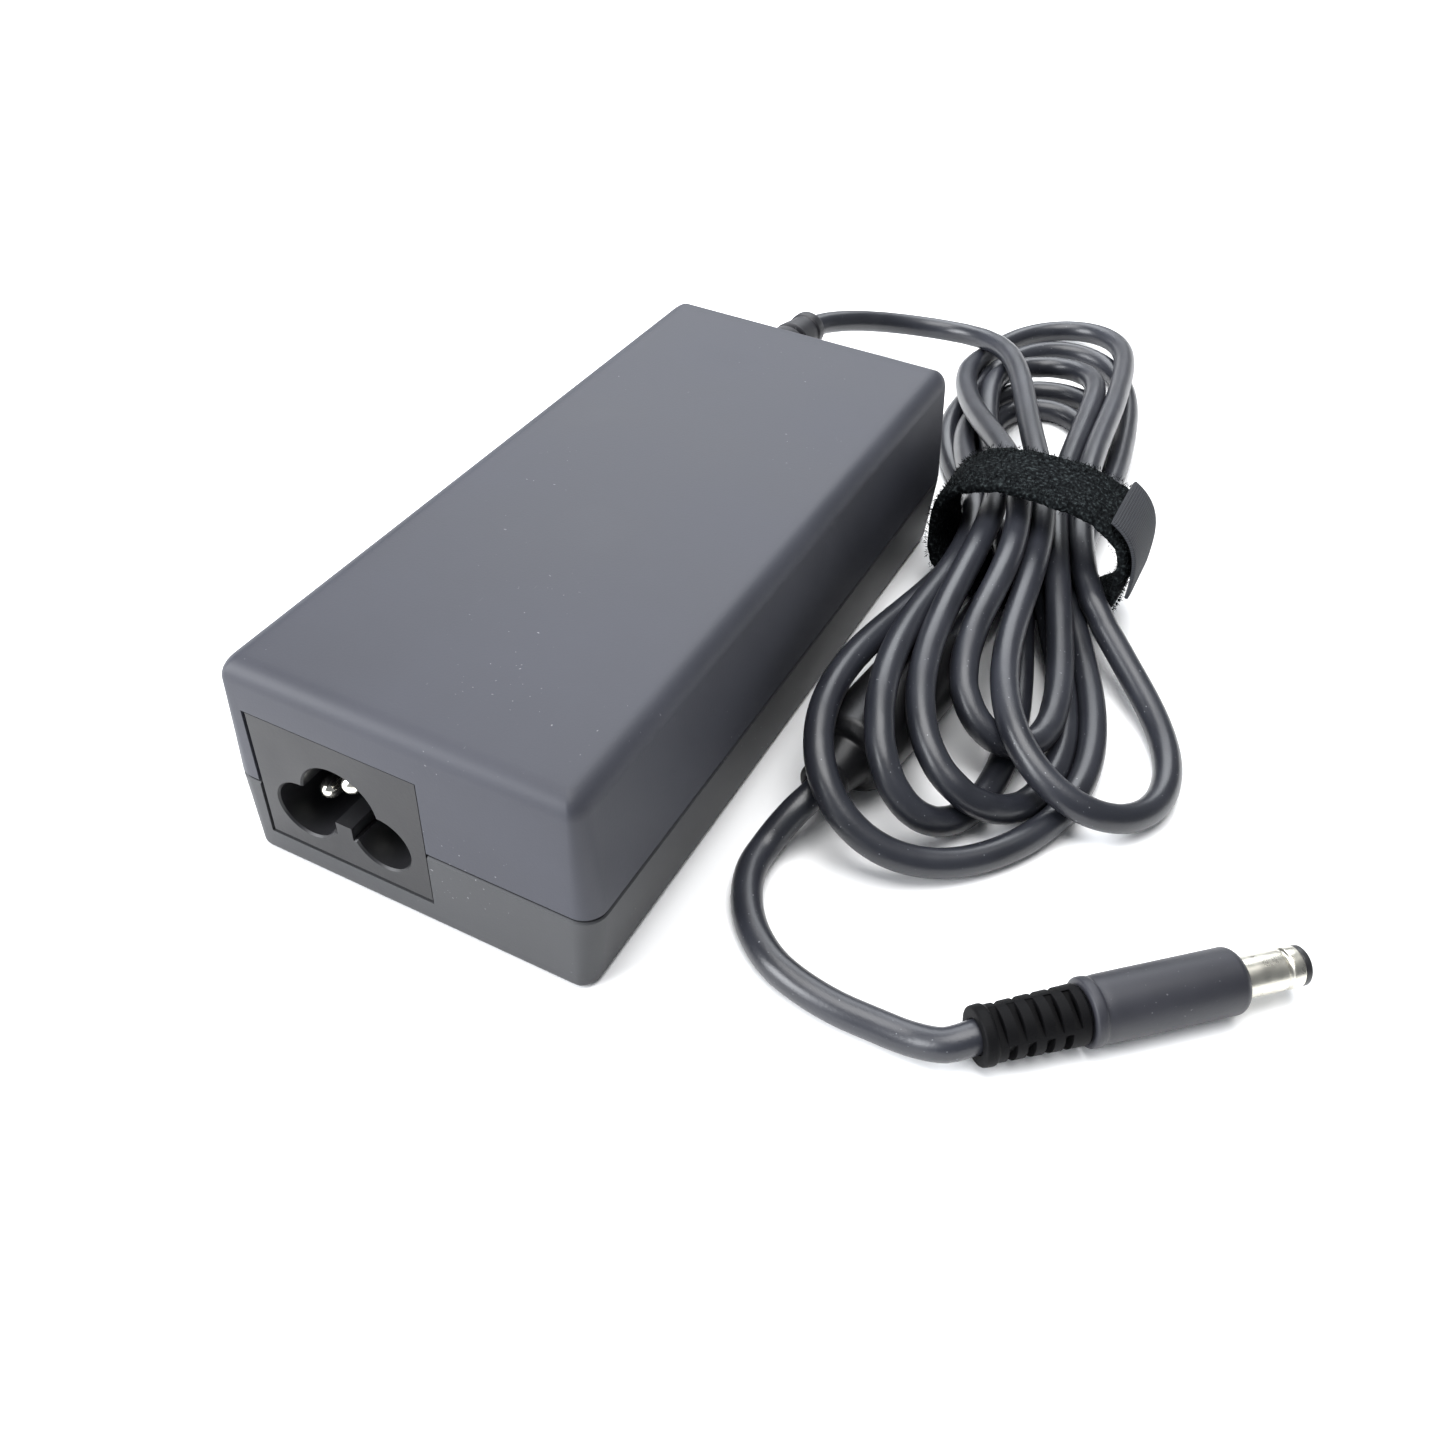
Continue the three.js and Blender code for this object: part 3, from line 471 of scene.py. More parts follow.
METALS = {
    "pin_metal": dict(colour=(0.86, 0.84, 0.76), roughness=0.16),
    "heatsink_metal": dict(colour=(0.72, 0.73, 0.75), roughness=0.35, line_mm=0.4),
    "barrel_metal": dict(colour=(0.62, 0.6, 0.53), roughness=0.24),
    "contact_brass": dict(colour=(0.78, 0.6, 0.24), roughness=0.25),
}
FINISHES = {
    # Both shells are one plastic. The lower shell's lighter, warmer colour is painted light: it stands in for
    # the floor's light reflected onto its downward-facing sides.
    "housing_upper": housing_plastic("housing_upper", (0.034, 0.0355, 0.045), 0.52, 0.28),
    "housing_lower": housing_plastic("housing_lower", (0.042, 0.043, 0.046), 0.55, 0.25),
    "board_laminate": printed_board(),
    "copper_wire": wound_wire(),
    "cord_jacket": cord_jacket(),
    "strap_fuzz": strap_pile(),
    "strap_weave": woven_tab(),
    **{name: moulded(name, **look) for name, look in MOULDED.items()},
    **{name: drawn_metal(name, **look) for name, look in METALS.items()},
}


def coat(piece, finish):
    piece.data.materials.clear()
    piece.data.materials.append(FINISHES[finish])


def show(piece, slot, *nodes, finish=None):
    """Gives a piece its body and the finish of its slot or another, and hides the nodes it stands for."""
    coat(piece, finish or slot)
    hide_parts(*nodes)
    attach(piece, "root")
    return piece


# ---------------------------------------------------------------- the output cord
CORD_RADIUS = 1.8
CORD_STEP = 1.5
TIGHTEST_BEND = 7.5  # the radius the cord is eased towards
STRAP_Y = 41.8

# Centre line of the lead from the strain relief, and of the tail from the hank to the plug.
LEAD = [
    (-13.8, 82.4, 10.7), (-12.7, 86.4, 10.1), (-11, 90.3, 9.3), (-9.1, 94.1, 8.3), (-6.9, 98.2, 7),
    (-4.4, 102.3, 5.8), (-1.8, 105.2, 4.8), (1.2, 107.2, 4.2), (4.2, 107.5, 4), (7, 106.4, 4.2),
    (9.8, 104.5, 4.9),
]
LEAD_HELD = (-6.9, 98.2, 7)  # the lead lies where it was laid as far as this
TAIL = [
    (36.6, 27.8, 4.2), (36.6, 23, 5.2), (36.3, 19, 5.5), (34.4, 3.5, 5.5), (32.9, -8.7, 5.5),
    (32.1, -15.6, 5.5), (31.2, -18.2, 4.8), (30.2, -20.7, 3.3), (29.6, -22.8, 2.1), (29.5, -25.8, 1.8),
    (30.3, -29.1, 1.8),
    (32, -32.4, 1.8), (34.3, -35.1, 1.8), (37.5, -37.4, 1.8), (41.2, -38.7, 1.8), (45.6, -39.4, 1.8),
    (50.4, -39.4, 1.8), (54, -39.4, 2.1), (57.4, -39.1, 3.1), (59.6, -37.3, 3.7), (67.3, -30.2, 3.7),
]

# The hank, run by run between the passes through the strap.
OVER_THE_TOP = [
    (12.9, 101.4, 5.8), (16.4, 97, 6.8), (19.7, 92, 7.9), (22.8, 86.6, 9), (25.6, 80, 10.6),
    (29.2, 70.7, 12.5), (33, 60.4, 14.5), (36, 52.5, 15.5), (39, 46.5, 15.5),
]
RIGHT_LOOP = [
    (41.3, STRAP_Y, 15), (42.9, 36.3, 14.2), (43.4, 31, 13.7), (43.3, 24.6, 13), (43.6, 18, 12),
    (44.8, 11.9, 11.3), (47, 5.9, 10.7), (50, 1, 9.8), (54, -2.5, 8.7), (59, -3.5, 7), (63.5, -1.8, 5),
    (67, 3.2, 3), (68.5, 10, 2), (67.3, 16, 2), (64.3, 22, 2), (60, 27.5, 2.5), (56, 32, 4.5),
    (52.3, 35, 7), (49, 38, 10),
]
OUTER_FAR_LOOP = [
    (46.3, STRAP_Y, 12), (43.6, 52, 13), (41.7, 61.5, 12.5), (40.5, 71, 11.5), (39, 81.5, 10),
    (37.3, 92.5, 8.5), (35.2, 105, 7), (32, 116, 6), (28, 123.5, 5), (23.5, 126.5, 4.5),
    (19.5, 124, 4), (17, 117.5, 3), (15, 110.5, 2), (13, 104, 2), (12.8, 97, 2), (15, 89, 3.5),
    (19.6, 76.6, 7), (24.6, 65.2, 10), (29, 55.7, 13),
]
INNER_NEAR_LOOP = [
    (37, STRAP_Y, 15.2), (39.6, 36.5, 15), (40.1, 30, 15), (40.3, 24, 14.8), (40.7, 17.9, 14.2),
    (41.4, 11.5, 13.2), (42, 6.5, 12.2), (42.9, 2.9, 11.6), (44.9, 0.6, 10.2), (47.6, -0.2, 8.4),
    (50.2, 0.8, 6.6), (52, 3.5, 5.4), (52.6, 7, 5), (52.2, 12, 5), (50.6, 18, 5.6), (47.8, 25.5, 7.2),
    (44.6, 34, 10),
]
SECOND_FAR_LOOP = [
    (42.2, STRAP_Y, 10.9), (39.5, 55, 12), (38, 64, 11.5), (36.5, 79, 9.5), (34.8, 90, 8),
    (32.9, 97, 7), (30, 103.5, 6), (26, 106.5, 5), (22.5, 104.5, 4.5), (19.5, 99, 3.5), (18.5, 92, 3.5),
    (19.5, 84, 4.5), (22, 74, 7), (25.5, 62, 10), (29, 52, 11.5),
]
MIDDLE_NEAR_LOOP = [
    (33, STRAP_Y, 13.4), (34.6, 35, 14.6), (34.5, 28, 15), (34.8, 20.4, 15.2), (35.8, 12.1, 15.2),
    (37.2, 5.4, 14.4), (38.8, -0.4, 12.8), (40.8, -5, 10.6), (43.6, -8, 8), (47.2, -9.2, 5.6),
    (51, -8.4, 3.8), (54.2, -5.4, 2.7), (55.6, 0, 2.2), (55.2, 8, 2), (53.2, 16, 2), (50.8, 26.6, 3),
    (47, 34, 5.5),
]
THIRD_FAR_LOOP = [
    (39, STRAP_Y, 8.5), (38.5, 58, 5), (38, 76, 3), (36, 90, 3), (31, 99.5, 3), (25, 101, 3),
    (19, 96, 2.5), (17.5, 87, 2.5), (18, 77, 3), (21.5, 66, 5), (26, 55, 7.5),
]
LEFT_NEAR_LOOP = [
    (31, STRAP_Y, 10.4), (31.4, 34, 11), (31.8, 26, 12), (32.6, 18.2, 13.2), (33.8, 8, 13.9),
    (35.2, -1.3, 14), (36.5, -8, 13.7), (38, -11.6, 11.5), (39.4, -13, 8), (41.3, -13.6, 4.5),
    (44, -13.1, 2.5), (46.8, -10.8, 2), (48.8, -6, 2), (49.7, 0, 2), (48.6, 10, 2), (46.8, 19, 3),
    (44, 30, 4.5),
]
INNER_FAR_LOOP = [
    (42.4, STRAP_Y, 5.2), (41, 60, 3), (39.5, 76, 2), (36, 89, 2), (30, 95, 2), (24, 92, 2),
    (20.5, 84, 2), (20.5, 74, 2.5), (23, 63, 4), (27.5, 53, 5),
]
OUTER_NEAR_LOOP = [
    (30.2, STRAP_Y, 6.8), (29.5, 34, 7), (29.3, 26, 8.5), (29.4, 17.4, 10.5), (29.6, 8.2, 12.5),
    (29.9, -0.5, 13.3), (30.4, -7.7, 13.3), (31.3, -13, 12), (32.9, -17.2, 8), (35, -19.4, 4.5),
    (38.3, -20, 2.5), (42.3, -19.6, 2), (46.5, -17.6, 2), (50.5, -13, 2), (53.5, -6.5, 2), (56, 1.5, 2),
    (57.2, 9, 2), (56.8, 15, 2), (55.5, 21.5, 2), (53.8, 28, 2.5), (50.5, 35, 4),
]
LAST_FAR_LOOP = [
    (46.8, STRAP_Y, 6.5), (45.8, 55, 7), (44.2, 71.4, 6.5), (43, 80, 5.5), (40.9, 91, 4),
    (37.5, 103, 2.5), (33, 112.5, 2), (28.5, 117.5, 2), (23.5, 118, 2), (19.5, 114, 2),
    (16.8, 107.5, 2), (15.6, 99, 2), (15.8, 90.7, 2), (17.5, 79.1, 2.5), (21, 66, 3), (26, 54, 3.5),
]
DOWN_TO_THE_CHOKE = [(32, 45.5, 3.6), (34.6, 38.5, 3.8), (36.2, 33, 4)]
HANK = [
    *OVER_THE_TOP, *RIGHT_LOOP, *OUTER_FAR_LOOP, *INNER_NEAR_LOOP, *SECOND_FAR_LOOP, *MIDDLE_NEAR_LOOP,
    *THIRD_FAR_LOOP, *LEFT_NEAR_LOOP, *INNER_FAR_LOOP, *OUTER_NEAR_LOOP, *LAST_FAR_LOOP, *DOWN_TO_THE_CHOKE,
]

STRAP_CENTRE = np.array([39.6, STRAP_Y, 10])
STRAP_SPAN, STRAP_RISE = 28.4, 20
STRAP_SQUARENESS = 2.8
STRAP_WIDTH, STRAP_THICKNESS = 12.2, 1.6
CHOKE_FACE = np.array([32.9, -8.7, 5.5])
CHOKE_TURN = -7
CHOKE_LENGTH, CHOKE_RADIUS = 24, 5.5
CHOKE_COLLAR, CHOKE_COLLAR_ROOT, CHOKE_COLLAR_TIP = 5.7, 3.7, 2.9


def evenly(path, step):
    """The same path with points an equal distance apart along it."""
    reach = np.r_[0, np.cumsum(np.linalg.norm(np.diff(path, axis=0), axis=1))]
    spots = np.linspace(0, reach[-1], int(round(reach[-1] / step)) + 1)
    return np.stack([np.interp(spots, reach, path[:, k]) for k in range(3)], axis=1)


def smooth_path(points, step, parts=24):
    """A centripetal Catmull-Rom curve through the points: knots lie the square root of the gaps apart, and
    each span blends its four nearest points."""
    points = np.asarray(points, float)
    points = np.vstack([2 * points[0] - points[1], points, 2 * points[-1] - points[-2]])
    knots = np.r_[0, np.cumsum(np.sqrt(np.linalg.norm(np.diff(points, axis=0), axis=1)))]
    p0, p1, p2, p3 = (points[k:len(points) - 3 + k, None] for k in range(4))
    t0, t1, t2, t3 = (knots[k:len(points) - 3 + k, None, None] for k in range(4))
    t = t1 + (t2 - t1) * np.linspace(0, 1, parts, endpoint=False)[None, :, None]

    def blend(a, b, start, end):
        return (end - t) / (end - start) * a + (t - start) / (end - start) * b

    a1, a2, a3 = blend(p0, p1, t0, t1), blend(p1, p2, t1, t2), blend(p2, p3, t2, t3)
    b1, b2 = blend(a1, a2, t0, t2), blend(a2, a3, t1, t3)
    curve = blend(b1, b2, t1, t2).reshape(-1, 3)
    return evenly(np.vstack([curve, points[-2]]), step)


def stiffness_push(path, stride):
    """The fourth difference of the path at a stride, which is what a bent cord's stiffness pushes against."""
    push = np.zeros_like(path)
    ends = path[:-4 * stride] + path[4 * stride:]
    between = path[stride:-3 * stride] + path[3 * stride:-stride]
    push[2 * stride:-2 * stride] = ends - 4 * between + 6 * path[2 * stride:-2 * stride]
    return push


def keep_apart(path, first, second, free):
    """Pushes near stretches of the cord apart until they lie a diameter from each other."""
    gap = path[first] - path[second]
    distance = np.linalg.norm(gap, axis=1)
    near = (distance < 2 * CORD_RADIUS) & (distance > 1e-6)
    first, second, gap, distance = first[near], second[near], gap[near], distance[near]
    push = gap / distance[:, None] * (CORD_RADIUS - distance / 2)[:, None]
    total, count = np.zeros_like(path), np.zeros(len(path))
    for spots, way in ((first, push), (second, -push)):
        np.add.at(total, spots, way)
        np.add.at(count, spots, 1)
    path += free * total / np.maximum(count, 1)[:, None] * 1.3


def keep_length(path, rest, free):
    """Brings every other segment, then the ones between, back to its rest length."""
    for start in (0, 1):
        a, b = path[start:-1:2], path[start + 1::2]
        free_a, free_b = free[start:-1:2], free[start + 1::2]
        count = min(len(a), len(b))
        a, b, free_a, free_b = a[:count], b[:count], free_a[:count], free_b[:count]
        gap = b - a
        size = np.linalg.norm(gap, axis=1, keepdims=True)
        change = gap / size * (size - rest) / np.maximum(free_a + free_b, 1)
        a += change * free_a
        b -= change * free_b


def ease_bends(path, free, stride=2):
    """Moves a point towards the middle of its neighbours where the cord bends tighter than it would. A bend
    of radius R stands (stride * step)^2 / 2R off that middle."""
    gap = (path[:-2 * stride] + path[2 * stride:]) / 2 - path[stride:-stride]
    size = np.maximum(np.linalg.norm(gap, axis=1, keepdims=True), 1e-9)
    allowed = (stride * CORD_STEP) ** 2 / (2 * TIGHTEST_BEND)
    path[stride:-stride] += free[stride:-stride] * gap * np.maximum(size - allowed, 0) / size * 0.5


def fair_bends(path, free, passes=60):
    """Evens out what is still bent too tightly: the stretch round a bend moves towards its running mean."""
    for _ in range(passes):
        turn = np.linalg.norm(np.diff(unit(np.gradient(path, axis=0)), axis=0, append=0), axis=1) / CORD_STEP
        turn[-3:] = 0
        over = np.clip(np.convolve(turn, np.ones(3) / 3, "same") * TIGHTEST_BEND - 1, 0, 1)
        share = np.minimum(np.convolve(over, np.ones(9), "same"), 1)[:, None]
        mean = np.stack([np.convolve(path[:, k], np.ones(5) / 5, "same") for k in range(3)], axis=1)
        path += free * share * (mean - path) * 0.5


def keep_clear(path, free):
    """Holds the cord inside the strap's ring, outside the choke, off the brick and above the floor."""
    loose = free[:, 0] > 0
    in_strap = loose & (np.abs(path[:, 1] - STRAP_Y) < STRAP_WIDTH / 2 + 1.2)
    room = np.array([STRAP_SPAN, STRAP_RISE]) / 2 - STRAP_THICKNESS - CORD_RADIUS
    across = (path[in_strap][:, [0, 2]] - STRAP_CENTRE[[0, 2]]) / room
    reach = (np.abs(across) ** STRAP_SQUARENESS).sum(axis=1) ** (1 / STRAP_SQUARENESS)
    across /= np.maximum(reach, 1)[:, None]
    path[np.ix_(in_strap, [0, 2])] = STRAP_CENTRE[[0, 2]] + across * room
    turn = np.radians(CHOKE_TURN)
    axis = np.array([-np.sin(turn), np.cos(turn), 0])
    along = (path - CHOKE_FACE) @ axis
    outward = path - CHOKE_FACE - along[:, None] * axis
    distance = np.linalg.norm(outward, axis=1)
    cover = np.where((along > 0) & (along < CHOKE_LENGTH), CHOKE_RADIUS + CORD_RADIUS, 0)
    cover = np.where((along > -CHOKE_COLLAR) & (along <= 0), CHOKE_COLLAR_ROOT + CORD_RADIUS - 0.1, cover)
    hit = loose & (distance < cover)
    path[hit] += outward[hit] / distance[hit, None] * (cover - distance)[hit, None]
    path[:, 2] = np.maximum(path[:, 2], CORD_RADIUS)
    brick_side, brick_back = 25.2, 51.2
    hit = loose & (path[:, 0] < brick_side) & (path[:, 1] < brick_back)
    behind = hit & (path[:, 0] < WIDTH / 2)
    path[behind, 1] = brick_back
    path[hit & ~behind, 0] = brick_side


def lay_cord(rounds=250, settle=25):
    """The cord's centre line. It starts on the listed route and is relaxed in small rounds: a pull towards
    the route that fades, a little sag, its stiffness, and contact with itself and what it touches."""
    path = smooth_path([*LEAD, *HANK, *TAIL], CORD_STEP)
    route = path.copy()
    middle = len(path) // 2
    start = np.argmin(np.linalg.norm(path - LEAD_HELD, axis=1))
    end = middle + np.argmin(np.linalg.norm(path[middle:] - TAIL[0], axis=1))
    free = np.zeros((len(path), 1))
    free[start:end] = 1
    rest = np.linalg.norm(np.diff(path, axis=0), axis=1).mean()
    first, second = np.triu_indices(len(path), int(np.ceil(4.4 * CORD_RADIUS / rest)))
    for turn in range(rounds):
        pull = 0.012 + 0.05 * (1 - turn / rounds) ** 1.5
        if turn < rounds - settle:
            path += free * (route - path) * pull * np.array([1, 1, 0.35])
            path[:, 2] -= free[:, 0] * 0.02
        if turn % 6 == 0:
            near = ((path[first] - path[second]) ** 2).sum(axis=1) < (2 * CORD_RADIUS + 2.5) ** 2
            pair_a, pair_b = first[near], second[near]
        for _ in range(4):
            path -= free * stiffness_push(path, 1) * 0.05
            path -= free * stiffness_push(path, 3) * 0.06
            keep_apart(path, pair_a, pair_b, free)
            keep_length(path, rest, free)
            ease_bends(path, free)
            keep_clear(path, free)
    fair_bends(path, free)
    keep_clear(path, free)
    return path


def carried_frames(path):
    """Sideways and upward directions carried along a path without twist: each is mirrored across the step to
    the next point, then across the turn of the tangent there."""
    tangent = unit(np.gradient(path, axis=0))
    side = np.empty_like(path)
    side[0] = unit(np.cross(tangent[0], UP))
    for i in range(len(path) - 1):
        step = path[i + 1] - path[i]
        leaned = side[i] - 2 * (step @ side[i]) / (step @ step) * step
        turned = tangent[i] - 2 * (step @ tangent[i]) / (step @ step) * step
        back = tangent[i + 1] - turned
        side[i + 1] = leaned - 2 * (back @ leaned) / max(back @ back, 1e-12) * back
    return side, np.cross(side, tangent)


def tube(path, radius, sides):
    """A ring carried along a path: centre + r cos a * sideways + r sin a * upward, square to the path."""
    side, rise = carried_frames(path)
    angle = full_turn(sides)[None, :, None]
    return path[:, None] + radius * (np.cos(angle) * side[:, None] + np.sin(angle) * rise[:, None])


def output_cord(centre_line):
    fine = smooth_path(centre_line, CORD_STEP / 2, parts=6)
    sides = 18
    points = tube(fine, CORD_RADIUS, sides)
    cord = make_piece("output_cord", points, ring_quads(len(fine), sides) + end_caps(len(fine), sides))
    show(cord, "cord_jacket", "cord_lead", "cord_hank", "cord_tail")
    return cord, fine


# ---------------------------------------------------------------- what is on the cord
def choke():
    """The ferrite's cover: a barrel with a tapered collar at its near end and a short one at the far end."""
    bore = CORD_RADIUS + 0.02
    length, radius = CHOKE_LENGTH, CHOKE_RADIUS
    collar, root, tip = CHOKE_COLLAR, CHOKE_COLLAR_ROOT, CHOKE_COLLAR_TIP
    profile = [
        (bore, -collar), (tip, -collar), (tip + 0.1, -collar + 1.4), (tip - 0.1, -collar + 1.7),
        (root - 0.2, -0.5), (root, -0.2), (radius - 1, 0), (radius, 1.1), (radius, length - 1.1),
        (radius - 1, length), (tip, length + 0.3), (tip, length + 1.8), (bore, length + 1.8),
    ]
    place = moved(CHOKE_FACE, CHOKE_TURN)
    piece = turned_piece("choke_cover_moulding", profile, 64, place, 0.45, hollow=True, sharp=60)
    return show(piece, "choke_plastic", "choke_cover")


RELIEF_SPOT = (-13.5, 49.2, 12.6)
RELIEF_LENGTH, RELIEF_SWING, RELIEF_DROOP = 33, -0.4, 1.9


def strain_relief():
    """A ringed taper behind the housing, whose free end moves over and down by the distance squared."""
    tip = RELIEF_LENGTH
    rings = []
    for i in range(6):
        s = 5 + 3.7 * i
        r = np.interp(s, (3, tip), (4.6, 2.7))
        rings += [(r, s), (r - 0.75, s + 0.15), (r - 0.75, s + 1.25), (r, s + 1.4)]
    profile = [
        (CORD_RADIUS * 0.5, -4.5), (5, -4.5), (5, -2.3), (3.9, -2.3), (3.9, 0.3), (5.1, 0.3), (5.1, 2.4),
        (4.6, 3), *rings, (2.7, tip - 2.6), (3, tip - 2.3), (3, tip - 0.4), (2.7, tip),
        (CORD_RADIUS * 0.5, tip),
    ]

    def droop(points):
        share = (np.maximum(points[..., 1:2], 0) / tip) ** 2
        bend = share * np.array([RELIEF_SWING, 0, -RELIEF_DROOP])
        return points + bend + np.array(RELIEF_SPOT)

    piece = turned_piece("strain_relief_moulding", profile, 48, droop, 0.2, sharp=50)
    return show(piece, "relief_rubber", "strain_relief")


PLUG_START = np.array([59.6, -37.3, 3.7])
PLUG_TURN = 42.7 - 90
BOOT_LENGTH, BOOT_RADIUS = 11.4, 3.2
BOOT_COLLAR, SLOT_PITCH, SLOT_TURN = 1.2, 2, 18
BODY_LENGTH, BODY_RADIUS = 18, 3.6
BARREL_LENGTH, BARREL_RADIUS, BARREL_BORE = 7.9, 2.25, 1.6
FIT = 0.3
PLUG_FRONT = BOOT_LENGTH + FIT + BODY_LENGTH
at_plug = moved(PLUG_START, PLUG_TURN)


def plug_boot():
    """A sleeve with staggered rows of slots on its four sides."""
    bore, collar = CORD_RADIUS + 0.02, BOOT_COLLAR
    profile = [
        (bore, 0), (BOOT_RADIUS - 0.1, 0), (BOOT_RADIUS, collar), (BOOT_RADIUS - 0.25, collar + 0.2),
        (BOOT_RADIUS, BOOT_LENGTH), (bore, BOOT_LENGTH),
    ]
    boot = turned_piece("plug_boot_moulding", profile, 72, at_plug, 0.3, hollow=True)
    slots = []
    for row in range(4):
        turn = np.radians(SLOT_TURN + 90 * row)
        staggered = row % 2
        across = np.array([[np.cos(turn), 0, -np.sin(turn)], [0, 1, 0], [np.sin(turn), 0, np.cos(turn)]])
        for i in range(5 - staggered):
            s = collar + 0.2 + (i + staggered / 2) * SLOT_PITCH
            low, high = (-2.05, s, bore + 0.3), (2.05, s + 0.9, 5)
            slots.append(block("slot", low, high, lambda p, m=across: at_plug(p @ m)))
    cutter = join(slots[0], slots[1:])
    return show(carve(boot, [cutter]), "plug_rubber", "plug_boot", finish="boot_rubber")


def plug_body():
    s0, s1 = BOOT_LENGTH + FIT, PLUG_FRONT
    seat = s1 - 4.3
    hole, r = BARREL_RADIUS + 0.12, BODY_RADIUS
    profile = [
        (0.3, s0), (r - 0.2, s0), (r + 0.1, s0 + 0.25), (r + 0.1, s0 + 1.15), (r - 0.12, s0 + 1.3),
        (r, s0 + 2.2), (r, s1 - 0.7), (r - 0.75, s1), (hole, s1), (hole, seat), (0.3, seat),
    ]
    piece = turned_piece("plug_body_moulding", profile, 72, at_plug, 0.45, sharp=50)
    return show(piece, "plug_rubber", "plug_body")


def barrel():
    """The plug's contact sleeve with a groove near its tip, its liner with the tip ring, and its pin."""
    root, tip = PLUG_FRONT - 4, PLUG_FRONT + BARREL_LENGTH
    end = tip - 1
    groove = end - 1.5
    bore, r = BARREL_BORE, BARREL_RADIUS
    profile = [
        (bore, root), (r, root), (r, groove - 0.5), (r - 0.2, groove - 0.3), (r - 0.2, groove),
        (r, groove + 0.2), (r, end), (bore, end),
    ]
    sleeve = turned_piece("barrel_contact", profile, 72, at_plug, 0.1, hollow=True)
    show(sleeve, "barrel_metal", "barrel_sleeve")
    outer = BARREL_BORE - 0.05
    inner = outer - 0.5
    rim = BARREL_RADIUS - 0.05
    profile = [
        (inner, root + 1), (outer, root + 1), (outer, end + 0.02), (rim, end + 0.02), (rim, tip - 0.3),
        (rim - 0.3, tip), (inner, tip),
    ]
    liner = turned_piece("barrel_liner", profile, 64, at_plug, 0.1, hollow=True)
    show(liner, "wire_black", "barrel_insulator")
    s1 = tip - 1.4
    profile = [(0.05, root + 0.2), (0.4, root + 0.2), (0.4, s1 - 0.4), (0.22, s1), (0.05, s1)]
    pin = turned_piece("barrel_centre_pin", profile, 24, at_plug, 0.1)
    show(pin, "contact_brass", "centre_pin")
    return [sleeve, liner, pin]


# ---------------------------------------------------------------- the strap
def squared(angle, power):
    """A circle squared off: its cosine and sine to a power below 1, with their signs kept."""
    return [np.sign(value) * np.abs(value) ** power for value in (np.cos(angle), np.sin(angle))]


def oval(angle, grow):
    """Points of the strap's squared oval at each angle, grown outwards."""
    across, up = squared(angle, 2 / STRAP_SQUARENESS)
    return (STRAP_SPAN / 2 + grow) * across, (STRAP_RISE / 2 + grow) * up


def on_strap(x, y, z):
    """Points from the strap's own centre, y being the distance across its width."""
    return np.stack(np.broadcast_arrays(x, y, z), axis=-1) + STRAP_CENTRE


def evenly_round(from_degrees, to_degrees, steps):
    """Angles between two, chosen so that the ring's points lie an equal distance apart."""
    fine = np.radians(np.linspace(from_degrees, to_degrees, 4000))
    x, z = oval(fine, 0)
    reach = np.r_[0, np.cumsum(np.hypot(np.diff(x), np.diff(z)))]
    return np.interp(np.linspace(0, reach[-1], steps), reach, fine)


def pile_fibres(roots, outward, lengths, rng):
    """Tapered three-sided hairs: each leaves its root along outward and bends over by its length squared."""
    count = len(roots)
    bend = rng.normal(size=(count, 3)) * 0.55
    level = np.array([0, 0.5, 1])[None, :, None]
    way = outward[:, None] * level + bend[:, None] * level**2 * 0.6
    centre = roots[:, None] + lengths[:, None, None] * way
    side = unit(np.cross(outward, rng.normal(size=(count, 3))))
    other = np.cross(outward, side)
    angle = np.radians([0, 120, 240])
    across = np.cos(angle)[None, :, None] * side[:, None] + np.sin(angle)[None, :, None] * other[:, None]
    thin = 0.06 * (1 - 0.75 * level)[..., None]
    points = centre[:, :, None] + across[:, None] * thin
    base = np.arange(count)[:, None] * 9
    sides = np.array(ring_quads(3, 3)).reshape(-1)[None, :] + base
    ends = np.array([2, 1, 0, 6, 7, 8])[None, :] + base
    return points.reshape(-1, 3), sides.reshape(-1, 4).tolist() + ends.reshape(-1, 3).tolist()


